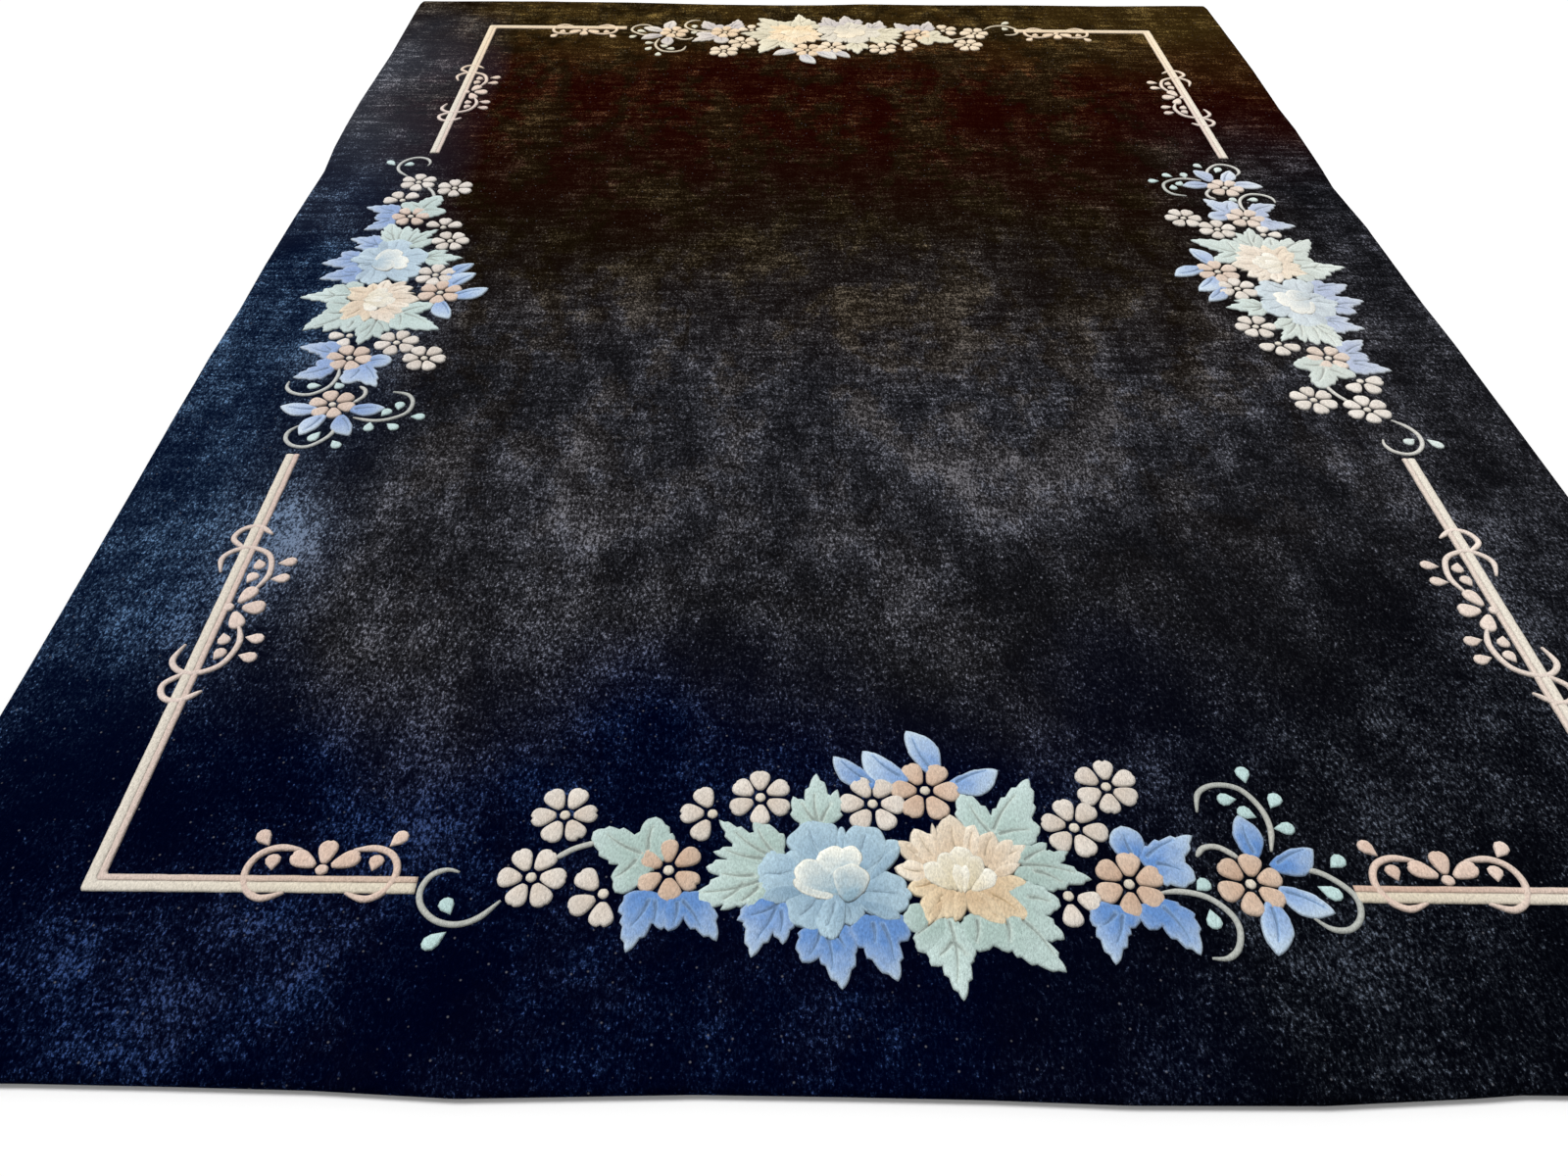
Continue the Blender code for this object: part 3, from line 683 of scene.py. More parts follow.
class Carving:
    """Carved pile islands of one colour, gathered in one mesh in millimetres."""

    def __init__(self, seed):
        self.work = bmesh.new()
        self.carve = self.work.verts.layers.float_color.new("carve")
        self.outwards = {}
        self.chance = random.Random(seed)

    def island(
        self, outlines, veins=(), base=0.0, rise=2.6, puff=0.5, grid=6.0, root=None, reach=60.0
    ):
        """One raised island of pile with soft edges and carved veins."""
        loops = [evenly(loop, 1.0, 4.0) for loop in joined_outline(outlines)]
        loops = [loop if runs_left(loop) or len(loops) > 1 else loop[::-1] for loop in loops]
        points = []
        edges = []
        for loop in loops:
            edges += loop_edges(len(points), len(loop))
            points += list(loop)
        rim_count = len(points)
        rim = np.array(points)
        starts = rim[[a for a, _ in edges]]
        ends = rim[[b for _, b in edges]]
        directions = np.concatenate([inward(loop) for loop in loops])
        rim_lines = (starts, ends)
        vein_starts, vein_ends, vein_widths = self.vein_pieces(veins)
        vein_lines = (vein_starts, vein_ends)
        for depth in RIM_RINGS:
            ring = rim + directions * depth
            points += list(self.kept(ring, loops, rim_lines, depth * 0.8, vein_lines, 1.2))
        for line, beside, _ in veins:
            edges.extend((len(points) + k, len(points) + k + 1) for k in range(len(line) - 1))
            points += list(line)
            points += list(self.kept(beside, loops, rim_lines, 1.6, vein_lines, 0.4))
        low = rim.min(axis=0)
        high = rim.max(axis=0)
        x_places = np.arange(low[0], high[0], grid)
        y_places = np.arange(low[1], high[1], grid * 0.87)
        columns, rows = np.meshgrid(x_places, y_places)
        columns[1::2] += grid / 2
        field = np.stack([columns.ravel(), rows.ravel()], axis=1)
        field = self.kept(field, loops, rim_lines, CLEAR_OF_RIM, vein_lines, CLEAR_OF_VEIN)
        points += list(field)
        flat, faces = triangles(points, edges)
        middles = flat[faces].mean(axis=1)
        inside = np.zeros(len(faces), int)
        for loop in loops:
            inside += winds_around(middles, loop)
        faces = faces[inside % 2 == 1]
        depth = distance_to(flat, starts, ends)
        groove = self.grooves(flat, vein_starts, vein_ends, vein_widths)
        shoulder = 1 - np.clip(1 - depth / SHOULDER_WIDTH, 0, 1) ** 2
        height = rise * (RIM_SHARE + (1 - RIM_SHARE) * shoulder)
        height = height + puff * (1 - np.exp(-depth / PUFF_WIDTH)) - VEIN_DEPTH * groove
        root = rim.mean(axis=0) if root is None else np.array(root)
        shade = np.clip(np.linalg.norm(flat - root, axis=1) / reach, 0, 1)
        tone = self.chance.random()
        verts = []
        for index, (x, y) in enumerate(flat):
            vert = self.work.verts.new((x, y, PILE_TOP + base + height[index]))
            # Closeness to the rim and to a vein's groove, for the painted highlight and shade there
            from_rim = min(depth[index] / RIM_PAINT, 1)
            in_groove = min(groove[index] / GROOVE_PAINT, 1)
            vert[self.carve] = (shade[index], from_rim, in_groove, tone)
            verts.append(vert)
            if index < rim_count:
                self.outwards[vert] = -directions[index]
        for face in faces:
            self.work.faces.new([verts[corner] for corner in face])
        for vert in verts:
            if not vert.link_faces:
                self.outwards.pop(vert, None)
                self.work.verts.remove(vert)

    @staticmethod
    def vein_pieces(veins):
        """Straight pieces of all veins of an island, with their half widths."""
        if not veins:
            return np.zeros((0, 2)), np.zeros((0, 2)), np.zeros(0)
        starts = np.concatenate([line[:-1] for line, _, _ in veins])
        ends = np.concatenate([line[1:] for line, _, _ in veins])
        return starts, ends, np.concatenate([widths[:-1] for _, _, widths in veins])

    @staticmethod
    def kept(field, loops, rim_lines, from_rim, vein_lines, from_vein):
        """Points that lie far enough inside the rim and off the veins."""
        if not len(field):
            return field
        inside = np.zeros(len(field), int)
        for loop in loops:
            inside += winds_around(field, loop)
        field = field[inside % 2 == 1]
        if len(field):
            field = field[distance_to(field, *rim_lines) >= from_rim]
        if len(field) and len(vein_lines[0]):
            field = field[distance_to(field, *vein_lines) >= from_vein]
        return field

    @staticmethod
    def grooves(flat, vein_starts, vein_ends, vein_widths):
        """How far every point lies inside a vein's groove, in millimetres."""
        if not len(vein_starts):
            return np.zeros(len(flat))
        along = vein_ends - vein_starts
        from_start = flat[:, None, :] - vein_starts[None]
        t = np.clip((from_start * along).sum(axis=2) / (along**2).sum(axis=1), 0, 1)
        gap = np.sqrt(((from_start - t[:, :, None] * along) ** 2).sum(axis=2))
        return np.maximum(vein_widths[None] - gap, 0).max(axis=1)

    def finished(self, name):
        """Closed mesh of the gathered islands, still in millimetres."""
        work = self.work
        rim_edges = [edge for edge in work.edges if edge.is_boundary]
        result = bmesh.ops.extrude_edge_only(work, edges=rim_edges)
        for vert in (item for item in result["geom"] if isinstance(item, bmesh.types.BMVert)):
            beside = [edge.other_vert(vert) for edge in vert.link_edges]
            above = next((other for other in beside if other in self.outwards), None)
            spread = self.outwards[above] * SKIRT_SPREAD if above else (0, 0)
            vert.co = (vert.co.x + spread[0], vert.co.y + spread[1], SKIRT_FOOT)
        bmesh.ops.holes_fill(work, edges=[edge for edge in work.edges if edge.is_boundary], sides=0)
        bmesh.ops.recalc_face_normals(work, faces=work.faces)
        mesh = bpy.data.meshes.new(name)
        work.to_mesh(mesh)
        work.free()
        mesh.polygons.foreach_set("use_smooth", [True] * len(mesh.polygons))
        return mesh


def vein(start_x, start_y, end_x, end_y, width=4.2):
    """Line of a carved vein, points beside it for its slopes, and its half widths."""
    start = np.array((start_x, start_y), float)
    axis = np.array((end_x, end_y), float) - start
    length = np.linalg.norm(axis)
    across = np.array((-axis[1], axis[0])) / length
    count = max(3, round(length / 4))
    t = np.linspace(0, 1, count + 1)
    line = start + axis * t[:, None] + across * (np.sin(math.pi * t) * length * 0.05)[:, None]
    widths = width * (1 - 0.55 * t)
    lanes = [line + across * (side * widths)[:, None] for side in (-1, -0.5, 0.5, 1)]
    beside = np.concatenate(lanes)
    return line, beside, widths


def crease(root_x, root_y, tip_x, tip_y, end, width):
    """Soft fold along the middle of a petal, as far as a share of its length."""
    places = [(root_x + (tip_x - root_x) * t, root_y + (tip_y - root_y) * t) for t in (0.30, end)]
    return vein(*places[0], *places[1], width=width)


def side_matrix(name, with_fit):
    """Matrix that brings the layout of one side to its place on the rug."""
    middles = {
        "near": (0.0, -BORDER_HALF_LENGTH, NEAR_SIDE_TURN),
        "right": (BORDER_HALF_WIDTH, 0.0, 90.0),
        "far": (0.0, BORDER_HALF_LENGTH, 180.0),
        "left": (-BORDER_HALF_WIDTH, 0.0, -90.0),
    }
    x, y, turn = middles[name]
    shift_x, shift_y, stretch, rise = SPRAY_FIT[name] if with_fit else (0, 0, 1, 0)
    fit = Matrix(((stretch, 0, 0, shift_x), (rise, 1, 0, shift_y), (0, 0, 1, 0), (0, 0, 0, 1)))
    place = Matrix.Translation((x + DESIGN_CENTRE[0], y + DESIGN_CENTRE[1], 0))
    return Matrix.Scale(MM, 4) @ place @ Matrix.Rotation(math.radians(turn), 4, "Z") @ fit


def on_all_sides(carving, name, material):
    """The same carving knotted into all four sides, as one piece."""
    template = carving.finished(name)
    work = bmesh.new()
    for side in SIDES:
        first = len(work.verts)
        work.from_mesh(template)
        work.verts.ensure_lookup_table()
        bmesh.ops.transform(work, matrix=side_matrix(side, True), verts=work.verts[first:])
    work.to_mesh(template)
    work.free()
    return new_piece(name, template, material)


def new_piece(name, mesh, material):
    """Object of a finished mesh that rides on the rug."""
    piece = bpy.data.objects.new(name, mesh)
    bpy.context.scene.collection.objects.link(piece)
    mesh.materials.clear()
    mesh.materials.append(material)
    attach(piece, "root")
    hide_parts("rug")
    return piece


def blossoms(table, seed):
    """Carving of the petals of several blossoms."""
    carving = Carving(seed)
    for x, y, radius, first, step, count in table:
        for petal in range(count):
            angle = first + petal * step + carving.chance.uniform(-3, 3)
            length = (radius - PETAL_START) * carving.chance.uniform(0.95, 1.04)
            width = PETAL_WIDTH * radius / BLOSSOM_RADIUS * carving.chance.uniform(0.93, 1.05)
            middle = PETAL_START + length / 2
            px = x + middle * math.cos(math.radians(angle))
            py = y + middle * math.sin(math.radians(angle))
            notch = carving.chance.choice((-0.02, -0.01, 0.0, 0.01, 0.05))
            direction = angle + carving.chance.uniform(-5, 5)
            carving.island(
                [petal_outline(px, py, direction, length, width, notch)],
                base=0.3, rise=2.8, puff=1.5, grid=5.0, root=(x, y), reach=radius,
            )
    return carving


def blossom_hearts():
    """Small round middles of the blossoms."""
    carving = Carving(7)
    for x, y, *_ in PALE_BLOSSOMS + PEACH_BLOSSOMS:
        outline = round_outline(x, y, HEART_RADIUS, HEART_RADIUS, 0, 0.04)
        carving.island([outline], base=0.2, rise=2.6, puff=0.3, grid=4.0, root=(x, y), reach=10)
    return carving


def leaves(table, seed):
    """Carving of leaves with lobes and veins."""
    carving = Carving(seed)
    for lobes, veins in table:
        outlines = []
        for lobe in lobes:
            length = math.hypot(lobe[2] - lobe[0], lobe[3] - lobe[1])
            if len(lobes) == 1:
                edge = SINGLE_LEAF_EDGE
            else:
                edge = (max(2, round(length / TOOTH_LENGTH)), TOOTH_DEPTH, LOBE_BELLY)
            outlines.append(lobe_outline(*lobe, *edge))
        root = lobes[0][:2]
        reach = max(math.hypot(lobe[2] - root[0], lobe[3] - root[1]) for lobe in lobes)
        lines = [vein(*row) for row in veins]
        carving.island(outlines, lines, rise=2.4, puff=1.6, root=root, reach=reach)
    return carving


def tendrils():
    """Thin curling stalks."""
    carving = Carving(12)
    for points in TENDRILS:
        outline = stroke_outline(points, TENDRIL_WIDTH)
        carving.island([outline], rise=2.4, puff=0.2, root=points[0], reach=120)
    return carving


def drops():
    """Small mint drops beside the tendrils."""
    carving = Carving(13)
    for x, y, direction, length in DROPS:
        outline = drop_outline(x, y, direction, length, DROP_WIDTH)
        carving.island([outline], rise=2.4, puff=0.4, grid=5, reach=20)
    return carving


def fan_petals(table, seed):
    """Broad overlapping petals with a soft crease along some of them."""
    carving = Carving(seed)
    for root_x, root_y, tip_x, tip_y, width, root_share, wave, base in table:
        outline = fan_outline(root_x, root_y, tip_x, tip_y, width, root_share, wave)
        length = math.hypot(tip_x - root_x, tip_y - root_y)
        line = (root_x, root_y, tip_x, tip_y)
        folds = [crease(*line, 0.76, 3.0)] if width > 40 and base < 2 else []
        carving.island([outline], folds, base=base, rise=2.2, puff=1.3, root=line[:2], reach=length)
    return carving


def pointed_petals(table, seed):
    """Pointed overlapping petals with a toothed edge."""
    carving = Carving(seed)
    for root_x, root_y, tip_x, tip_y, width, teeth, base in table:
        outline = lobe_outline(root_x, root_y, tip_x, tip_y, width, 0.35, 0, teeth=teeth, depth=4.0)
        length = math.hypot(tip_x - root_x, tip_y - root_y)
        line = (root_x, root_y, tip_x, tip_y)
        folds = [crease(*line, 0.70, 2.4)] if width > 32 else []
        carving.island([outline], folds, base=base, rise=2.2, puff=1.3, root=line[:2], reach=length)
    return carving


def sky_bud():
    """Cupped middle petals of the blue peony, with their folded edge."""
    carving = fan_petals(SKY_BUD_PETALS, 6)
    outline = stroke_outline(SKY_BUD_FOLD, 14)
    carving.island([outline], base=3.2, rise=2.2, puff=0.5, root=(-60, 40), reach=20)
    return carving


def scroll(layout, seed):
    """One scroll with its petals, hooks and drops."""
    carving = Carving(seed)
    for x, y, direction, length, width in layout["petals"]:
        outline = petal_outline(x, y, direction, length, width)
        carving.island([outline], base=0.9, rise=2.6, puff=0.7, grid=5, reach=60)
    x, y = layout["heart"]
    carving.island([round_outline(x, y, 9, 8, 0, 0.04)], base=0.9, rise=2.6, grid=4, reach=10)
    for mirror in (1, -1):
        for points in layout["hooks"]:
            outline = stroke_outline([(px * mirror, py) for px, py in points], SCROLL_WIDTH)
            carving.island([outline], base=0.9, rise=2.4, puff=0.3, reach=60)
        for x, y, direction, length in layout["drops"]:
            way = direction if mirror == 1 else 180 - direction
            outline = drop_outline(x * mirror, y, way, length, DROP_WIDTH)
            carving.island([outline], base=0.4, rise=2.4, grid=5, reach=20)
    return carving


def all_scrolls(material):
    """Every pair of scrolls over the border."""
    pieces = []
    for side in SIDES:
        is_short = side in ("near", "far")
        layout = SHORT_SCROLL if is_short else LONG_SCROLL
        place = SHORT_SCROLL_AT if is_short else LONG_SCROLL_AT
        for end, way in (("first", -1), ("second", 1)):
            mesh = scroll(layout, 20 + way).finished(f"scroll_{side}_{end}")
            mesh.transform(side_matrix(side, False) @ Matrix.Translation((place * way, 0, 0)))
            pieces.append(new_piece(mesh.name, mesh, material))
    return pieces


def stripe(name, near_side, far_side, material):
    """One stripe of the border: a soft rib that bends around each corner."""
    work = bmesh.new()
    work.verts.layers.float_color.new("carve")
    for index, side in enumerate(SIDES):
        work_rib(work, side, SIDES[(index + 1) % 4], near_side, far_side)
    bmesh.ops.recalc_face_normals(work, faces=work.faces)
    mesh = bpy.data.meshes.new(name)
    work.to_mesh(mesh)
    work.free()
    mesh.polygons.foreach_set("use_smooth", [True] * len(mesh.polygons))
    return new_piece(name, mesh, material)


def work_rib(work, side, other, near_side, far_side):
    """Rib of pile from the end of one side, around a corner, to the next side."""
    start_frame = side_matrix(side, False)
    end_frame = side_matrix(other, False)
    lengths = [end_of(side) - SPRAY_GAP_HALF, end_of(other) - SPRAY_GAP_HALF]
    along_count = round(sum(lengths) / RIB_STEP)
    bend_at = lengths[0] / sum(lengths)
    carve = work.verts.layers.float_color["carve"]
    last_row = len(RIB_SECTION) - 1
    grid = bmesh.ops.create_grid(work, x_segments=along_count, y_segments=last_row, size=1)
    for vert in grid["verts"]:
        s = (vert.co.x + 1) / 2
        share, lift = RIB_SECTION[round((vert.co.y + 1) / 2 * last_row)]
        offset = near_side + (far_side - near_side) * share
        offset += RIB_WANDER * noise.noise((s * 60, near_side, SIDES.index(side)))
        begin = start_frame @ Vector((SPRAY_GAP_HALF, offset, 0))
        finish = end_frame @ Vector((-SPRAY_GAP_HALF, offset, 0))
        towards = start_frame @ Vector((0, offset, 0))
        onward = end_frame @ Vector((0, offset, 0))
        corner = line_crossing(begin, towards, finish, onward)
        if s < bend_at:
            spot = begin.lerp(corner, s / bend_at)
        else:
            spot = corner.lerp(finish, (s - bend_at) / (1 - bend_at))
        height = SKIRT_FOOT if lift is None else PILE_TOP + lift
        vert.co = (spot.x, spot.y, height * MM)
        # Second channel: closeness to the stripe's middle, so its edges get painted rim shade
        vert[carve] = (s, min(share, 1 - share) * 2, 0, 0.5)
    close_foot(work, grid["verts"])


def close_foot(work, verts):
    """Ends and underside of a rib, so that it is closed."""
    own = set(verts)
    rim = [edge for edge in work.edges if edge.is_boundary and edge.verts[0] in own]
    foot = 2 * SKIRT_FOOT * MM + 1e-6
    ends = [edge for edge in rim if edge.verts[0].co.z + edge.verts[1].co.z > foot]
    result = bmesh.ops.extrude_edge_only(work, edges=ends)
    for item in result["geom"]:
        if isinstance(item, bmesh.types.BMVert):
            item.co.z = SKIRT_FOOT * MM
    own |= {item for item in result["geom"] if isinstance(item, bmesh.types.BMVert)}
    bmesh.ops.remove_doubles(work, verts=list(own), dist=1e-6)
    bmesh.ops.holes_fill(work, edges=[edge for edge in work.edges if edge.is_boundary], sides=0)


def end_of(side):
    """Half length of a side of the border."""
    return BORDER_HALF_WIDTH if side in ("near", "far") else BORDER_HALF_LENGTH


def line_crossing(a, b, c, d):
    """Where the line through two points meets the line through two others."""
    first = (b - a).xy
    second = (d - c).xy
    reach = (c - a).xy.cross(second) / first.cross(second)
    return a + (b - a) * reach


def edge_distance(table, place):
    """Distance of the mat's outer edge from its middle at a place along it."""
    places, distances = zip(*table)
    return float(np.interp(place, places, distances))


def pile_ground(material, canvas):
    """The mat's dark pile: a broad soft surface, rounded sides and a flat back."""
    work = bmesh.new()
    grid = bmesh.ops.create_grid(work, x_segments=GROUND_COLUMNS, y_segments=GROUND_ROWS, size=1)
    for vert in grid["verts"]:
        vert.co = ground_point(vert.co.x, vert.co.y)
    rim = [edge for edge in work.edges if edge.is_boundary]
    for inset, height in SIDE_STEPS:
        result = bmesh.ops.extrude_edge_only(work, edges=rim)
        verts = [item for item in result["geom"] if isinstance(item, bmesh.types.BMVert)]
        for vert in verts:
            move_side(vert, inset, height)
        rim = [edge for edge in work.edges if edge.is_boundary]
    for face in bmesh.ops.holes_fill(work, edges=rim, sides=0)["faces"]:
        face.material_index = 1
    bmesh.ops.recalc_face_normals(work, faces=work.faces)
    mesh = bpy.data.meshes.new("pile_ground")
    work.to_mesh(mesh)
    work.free()
    mesh.polygons.foreach_set("use_smooth", [len(face.vertices) < 5 for face in mesh.polygons])
    piece = new_piece("pile_ground", mesh, material)
    mesh.materials.append(canvas)
    return piece


def ground_point(u, v):
    """Point of the pile top for grid places that run from minus one to one."""
    x, y = mat_point(crowded(u), crowded(v))
    across = 1 - abs(crowded(u))
    along = MAT_ASPECT * (1 - abs(crowded(v)))
    from_edge = min(across, along) * MAT_HALF_WIDTH
    fall = EDGE_FALL * max(0, 1 - from_edge / EDGE_FALL_WIDTH) ** 2
    spot = Vector((x * MM, y * MM, 0))
    swell = sum(height * noise.noise(spot * scale) for height, scale in SWELLS)
    return (x * MM, y * MM, (PILE_TOP - 0.2 - fall + swell) * MM)


def crowded(t):
    """Grid place drawn towards the edges, so that the rim gets finer rows."""
    return math.copysign(1 - (1 - abs(t)) ** CROWDING, t) * 0.999999


def mat_point(u, v):
    """Place on the mat for shares of its half width and half length."""
    y = v * MAT_HALF_LENGTH
    x = u * MAT_HALF_WIDTH
    right = edge_distance(RIGHT_EDGE, y)
    left = edge_distance(LEFT_EDGE, -y)
    near = edge_distance(NEAR_EDGE, x)
    far = edge_distance(FAR_EDGE, -x)
    x = u * (right if u > 0 else left)
    y = v * (far if v > 0 else near)
    cut = max(0, (abs(u) + abs(v) - CORNER_START) / (2 - CORNER_START)) * CORNER_CUT
    return x - math.copysign(cut, u), y - math.copysign(cut, v)


def move_side(vert, inset, height):
    """Moves a point of the mat's side to its height, inwards by an inset."""
    for axis in (0, 1):
        if abs(vert.co[axis]) > SIDE_FROM[axis]:
            vert.co[axis] -= math.copysign(inset * MM, vert.co[axis])
    vert.co.z = height * MM


def add_node(tree, kind, **values):
    """New shader node with its settings and input values."""
    node = tree.nodes.new(kind)
    for name, value in values.items():
        if name in node.inputs:
            node.inputs[name].default_value = value
        else:
            setattr(node, name, value)
    return node


def new_group(name, inputs, outputs):
    """Shader node group with named sockets."""
    group = bpy.data.node_groups.new(name, "ShaderNodeTree")
    for socket_name, kind, value in inputs:
        socket = group.interface.new_socket(socket_name, in_out="INPUT", socket_type=kind)
        socket.default_value = value
    for socket_name, kind in outputs:
        group.interface.new_socket(socket_name, in_out="OUTPUT", socket_type=kind)
    return group, group.nodes.new("NodeGroupInput"), group.nodes.new("NodeGroupOutput")


def math_node(tree, operation, first, second):
    """Math node of two values or sockets."""
    node = tree.nodes.new("ShaderNodeMath")
    node.operation = operation
    for index, value in enumerate((first, second)):
        if isinstance(value, (int, float)):
            node.inputs[index].default_value = value
        else:
            tree.links.new(value, node.inputs[index])
    return node.outputs[0]


def product(tree, first, second):
    """Product of two values or sockets."""
    return math_node(tree, "MULTIPLY", first, second)


def total(tree, first, second):
    """Sum of two values or sockets."""
    return math_node(tree, "ADD", first, second)


def swing(tree, value, share):
    """Noise about its middle, brought to a share."""
    return product(tree, math_node(tree, "SUBTRACT", value, 0.5), share)


def spread(tree, value, low, high, to_low, to_high):
    """Value brought from one range to another, held at its ends."""
    node = tree.nodes.new("ShaderNodeMapRange")
    for index, number in enumerate((low, high, to_low, to_high)):
        node.inputs[index + 1].default_value = number
    tree.links.new(value, node.inputs[0])
    return node.outputs[0]


def mix_colour(tree, factor, first, second, blend="MIX"):
    """Colour mix of two colours or sockets."""
    node = add_node(tree, "ShaderNodeMix", data_type="RGBA", blend_type=blend)
    for index, value in ((0, factor), (6, first), (7, second)):
        if isinstance(value, (int, float, tuple)):
            node.inputs[index].default_value = value
        else:
            tree.links.new(value, node.inputs[index])
    return node.outputs[2]


def linear(colour):
    """Colour as a maker's card shows it, in the renderer's linear values."""
    values = []
    for value in colour:
        if value > 10:
            values.append((value / 255 / 1.055 + 0.0521) ** 2.4)
        else:
            values.append(value / 3294)
    return (*values, 1.0)


def place_on_piece(tree):
    """Object coordinates, whole and split into axes."""
    place = tree.nodes.new("ShaderNodeTexCoord").outputs["Object"]
    axes = tree.nodes.new("ShaderNodeSeparateXYZ")
    tree.links.new(place, axes.inputs[0])
    return place, axes.outputs


def stretched(tree, place, scale, turn=0):
    """Coordinates turned flat by an angle and scaled on each axis."""
    mapping = add_node(tree, "ShaderNodeMapping", Rotation=(0, 0, turn), Scale=scale)
    tree.links.new(place, mapping.inputs["Vector"])
    return mapping.outputs[0]


def noise_at(tree, place, scale, detail, roughness):
    """Noise of one size."""
    node = add_node(tree, "ShaderNodeTexNoise", Scale=scale, Detail=detail, Roughness=roughness)
    tree.links.new(place, node.inputs["Vector"])
    return node.outputs[0]


def sheen_strokes(tree, place, scale):
    """Streaks of painted sheen where tufts lean over: rows, columns or broad ones, by their scale.
    """
    return noise_at(tree, stretched(tree, place, scale), 1.0, 4.0, 0.85)


def wool_grain():
    """Cut wool tufts: fine fibre ends, small knots and soft clumps."""
    group, into, out = new_group(
        "wool_grain",
        [("Tuft size", "NodeSocketFloat", 0.004)],
        [(name, "NodeSocketFloat") for name in ("Fibre", "Clump", "Height")],
    )
    place = place_on_piece(group)[0]
    leaning = stretched(group, place, (1.1, 0.55, 1.0), 0.5)
    size = math_node(group, "DIVIDE", 1.0, into.outputs["Tuft size"])
    fibre = add_node(group, "ShaderNodeTexNoise", Detail=4.0, Roughness=0.75)
    knots = add_node(group, "ShaderNodeTexVoronoi", Randomness=1.0)
    for tufts in (fibre, knots):
        group.links.new(leaning, tufts.inputs["Vector"])
        group.links.new(size, tufts.inputs["Scale"])
    clump = spread(group, noise_at(group, place, 48.0, 3.0, 0.6), 0.3, 0.7, 0.0, 1.0)
    fine = spread(group, fibre.outputs[0], 0.32, 0.68, 0.0, 1.0)
    bumps = spread(group, knots.outputs["Distance"], 0.0, 0.75, 1.0, 0.0)
    height = total(group, product(group, bumps, 0.25), product(group, fine, 0.8))
    for name, value in (("Fibre", fine), ("Clump", clump), ("Height", height)):
        group.links.new(value, out.inputs[name])
    return group


def tufts_of(tree, grain, size):
    """Grain of wool tufts of one size."""
    wool = tree.nodes.new("ShaderNodeGroup")
    wool.node_tree = grain
    wool.inputs["Tuft size"].default_value = size
    return wool.outputs


def carved_colour(grain):
    """Colour of a carved island: root to tip, painted highlight and painted shade at the rim,
    painted light and shade in the veins, and grain.
    """
    group, into, out = new_group(
        "carved_colour",
        [
            ("Root", "NodeSocketColor", (0.5, 0.5, 0.5, 1)),
            ("Tip", "NodeSocketColor", (0.7, 0.7, 0.7, 1)),
            ("Vein", "NodeSocketColor", (0.3, 0.3, 0.3, 1)),
            ("Rim shade", "NodeSocketFloat", 0.74),
        ],
        [("Color", "NodeSocketColor"), ("Height", "NodeSocketFloat")],
    )
    given = into.outputs
    carve = add_node(group, "ShaderNodeAttribute", attribute_name="carve")
    leaf_tone = carve.outputs["Alpha"]
    parts = group.nodes.new("ShaderNodeSeparateColor")
    group.links.new(carve.outputs["Color"], parts.inputs[0])
    along, from_rim, groove = parts.outputs
    wool = tufts_of(group, grain, 0.0030)

    shade = product(group, along, 0.85)
    shade = total(group, shade, product(group, wool["Clump"], 0.22))
    # Paler towards the rim: a painted highlight along the island's edge
    shade = math_node(group, "SUBTRACT", shade, product(group, from_rim, 0.36))
    shade = total(group, shade, spread(group, leaf_tone, 0.0, 1.0, -0.22, 0.22))
    to_tip = spread(group, shade, -0.12, 0.72, 0.0, 1.0)
    colour = mix_colour(group, to_tip, given["Root"], given["Tip"])
    # Towards the vein colour along a groove: painted light and shade on its slopes
    in_vein = spread(group, groove, 0.0, 0.25, 0.0, 0.7)
    colour = mix_colour(group, in_vein, colour, given["Vein"])

    # Darker at the rim by the Rim shade: painted shade in the crease between islands
    inner = spread(group, from_rim, 0.0, 0.42, 0.0, 1.0)
    outer = math_node(group, "SUBTRACT", 1.0, inner)
    rim = total(group, inner, product(group, outer, given["Rim shade"]))
    # Darker in the middle of a groove: painted shade
    deep = spread(group, groove, 0.22, 0.75, 1.0, 0.62)
    tone = spread(group, leaf_tone, 0.0, 1.0, 0.93, 1.05)
    speck = spread(group, wool["Fibre"], 0.0, 1.0, 0.76, 1.24)
    light = product(group, product(group, rim, tone), product(group, speck, deep))
    grey = group.nodes.new("ShaderNodeCombineColor")
    for socket in grey.inputs:
        group.links.new(light, socket)

    axes = place_on_piece(group)[1]
    # Painted room light: paler and warmer towards some sides of the rug
    for axis, start, full, strength, tint in PAINTED_LIGHT_TINTS:
        reach = spread(group, axes[axis], start, full, 0.0, strength)
        colour = mix_colour(group, reach, colour, linear(tint))
    colour = mix_colour(group, 1.0, colour, grey.outputs[0], "MULTIPLY")
    group.links.new(colour, out.inputs["Color"])
    group.links.new(wool["Height"], out.inputs["Height"])
    return group


def plain_material(name, roughness, gloss):
    """New material with its node tree and shader."""
    material = bpy.data.materials.new(name)
    material.use_nodes = True
    shader = material.node_tree.nodes["Principled BSDF"]
    shader.inputs["Roughness"].default_value = roughness
    shader.inputs["Specular IOR Level"].default_value = gloss
    return material, material.node_tree, shader


def put_on(tree, shader, colour, height, strength, depth):
    """Brings a colour and the bumps of the tufts to the shader."""
    bump = add_node(tree, "ShaderNodeBump", Strength=strength, Distance=depth)
    tree.links.new(colour, shader.inputs["Base Color"])
    tree.links.new(height, bump.inputs["Height"])
    tree.links.new(bump.outputs[0], shader.inputs["Normal"])


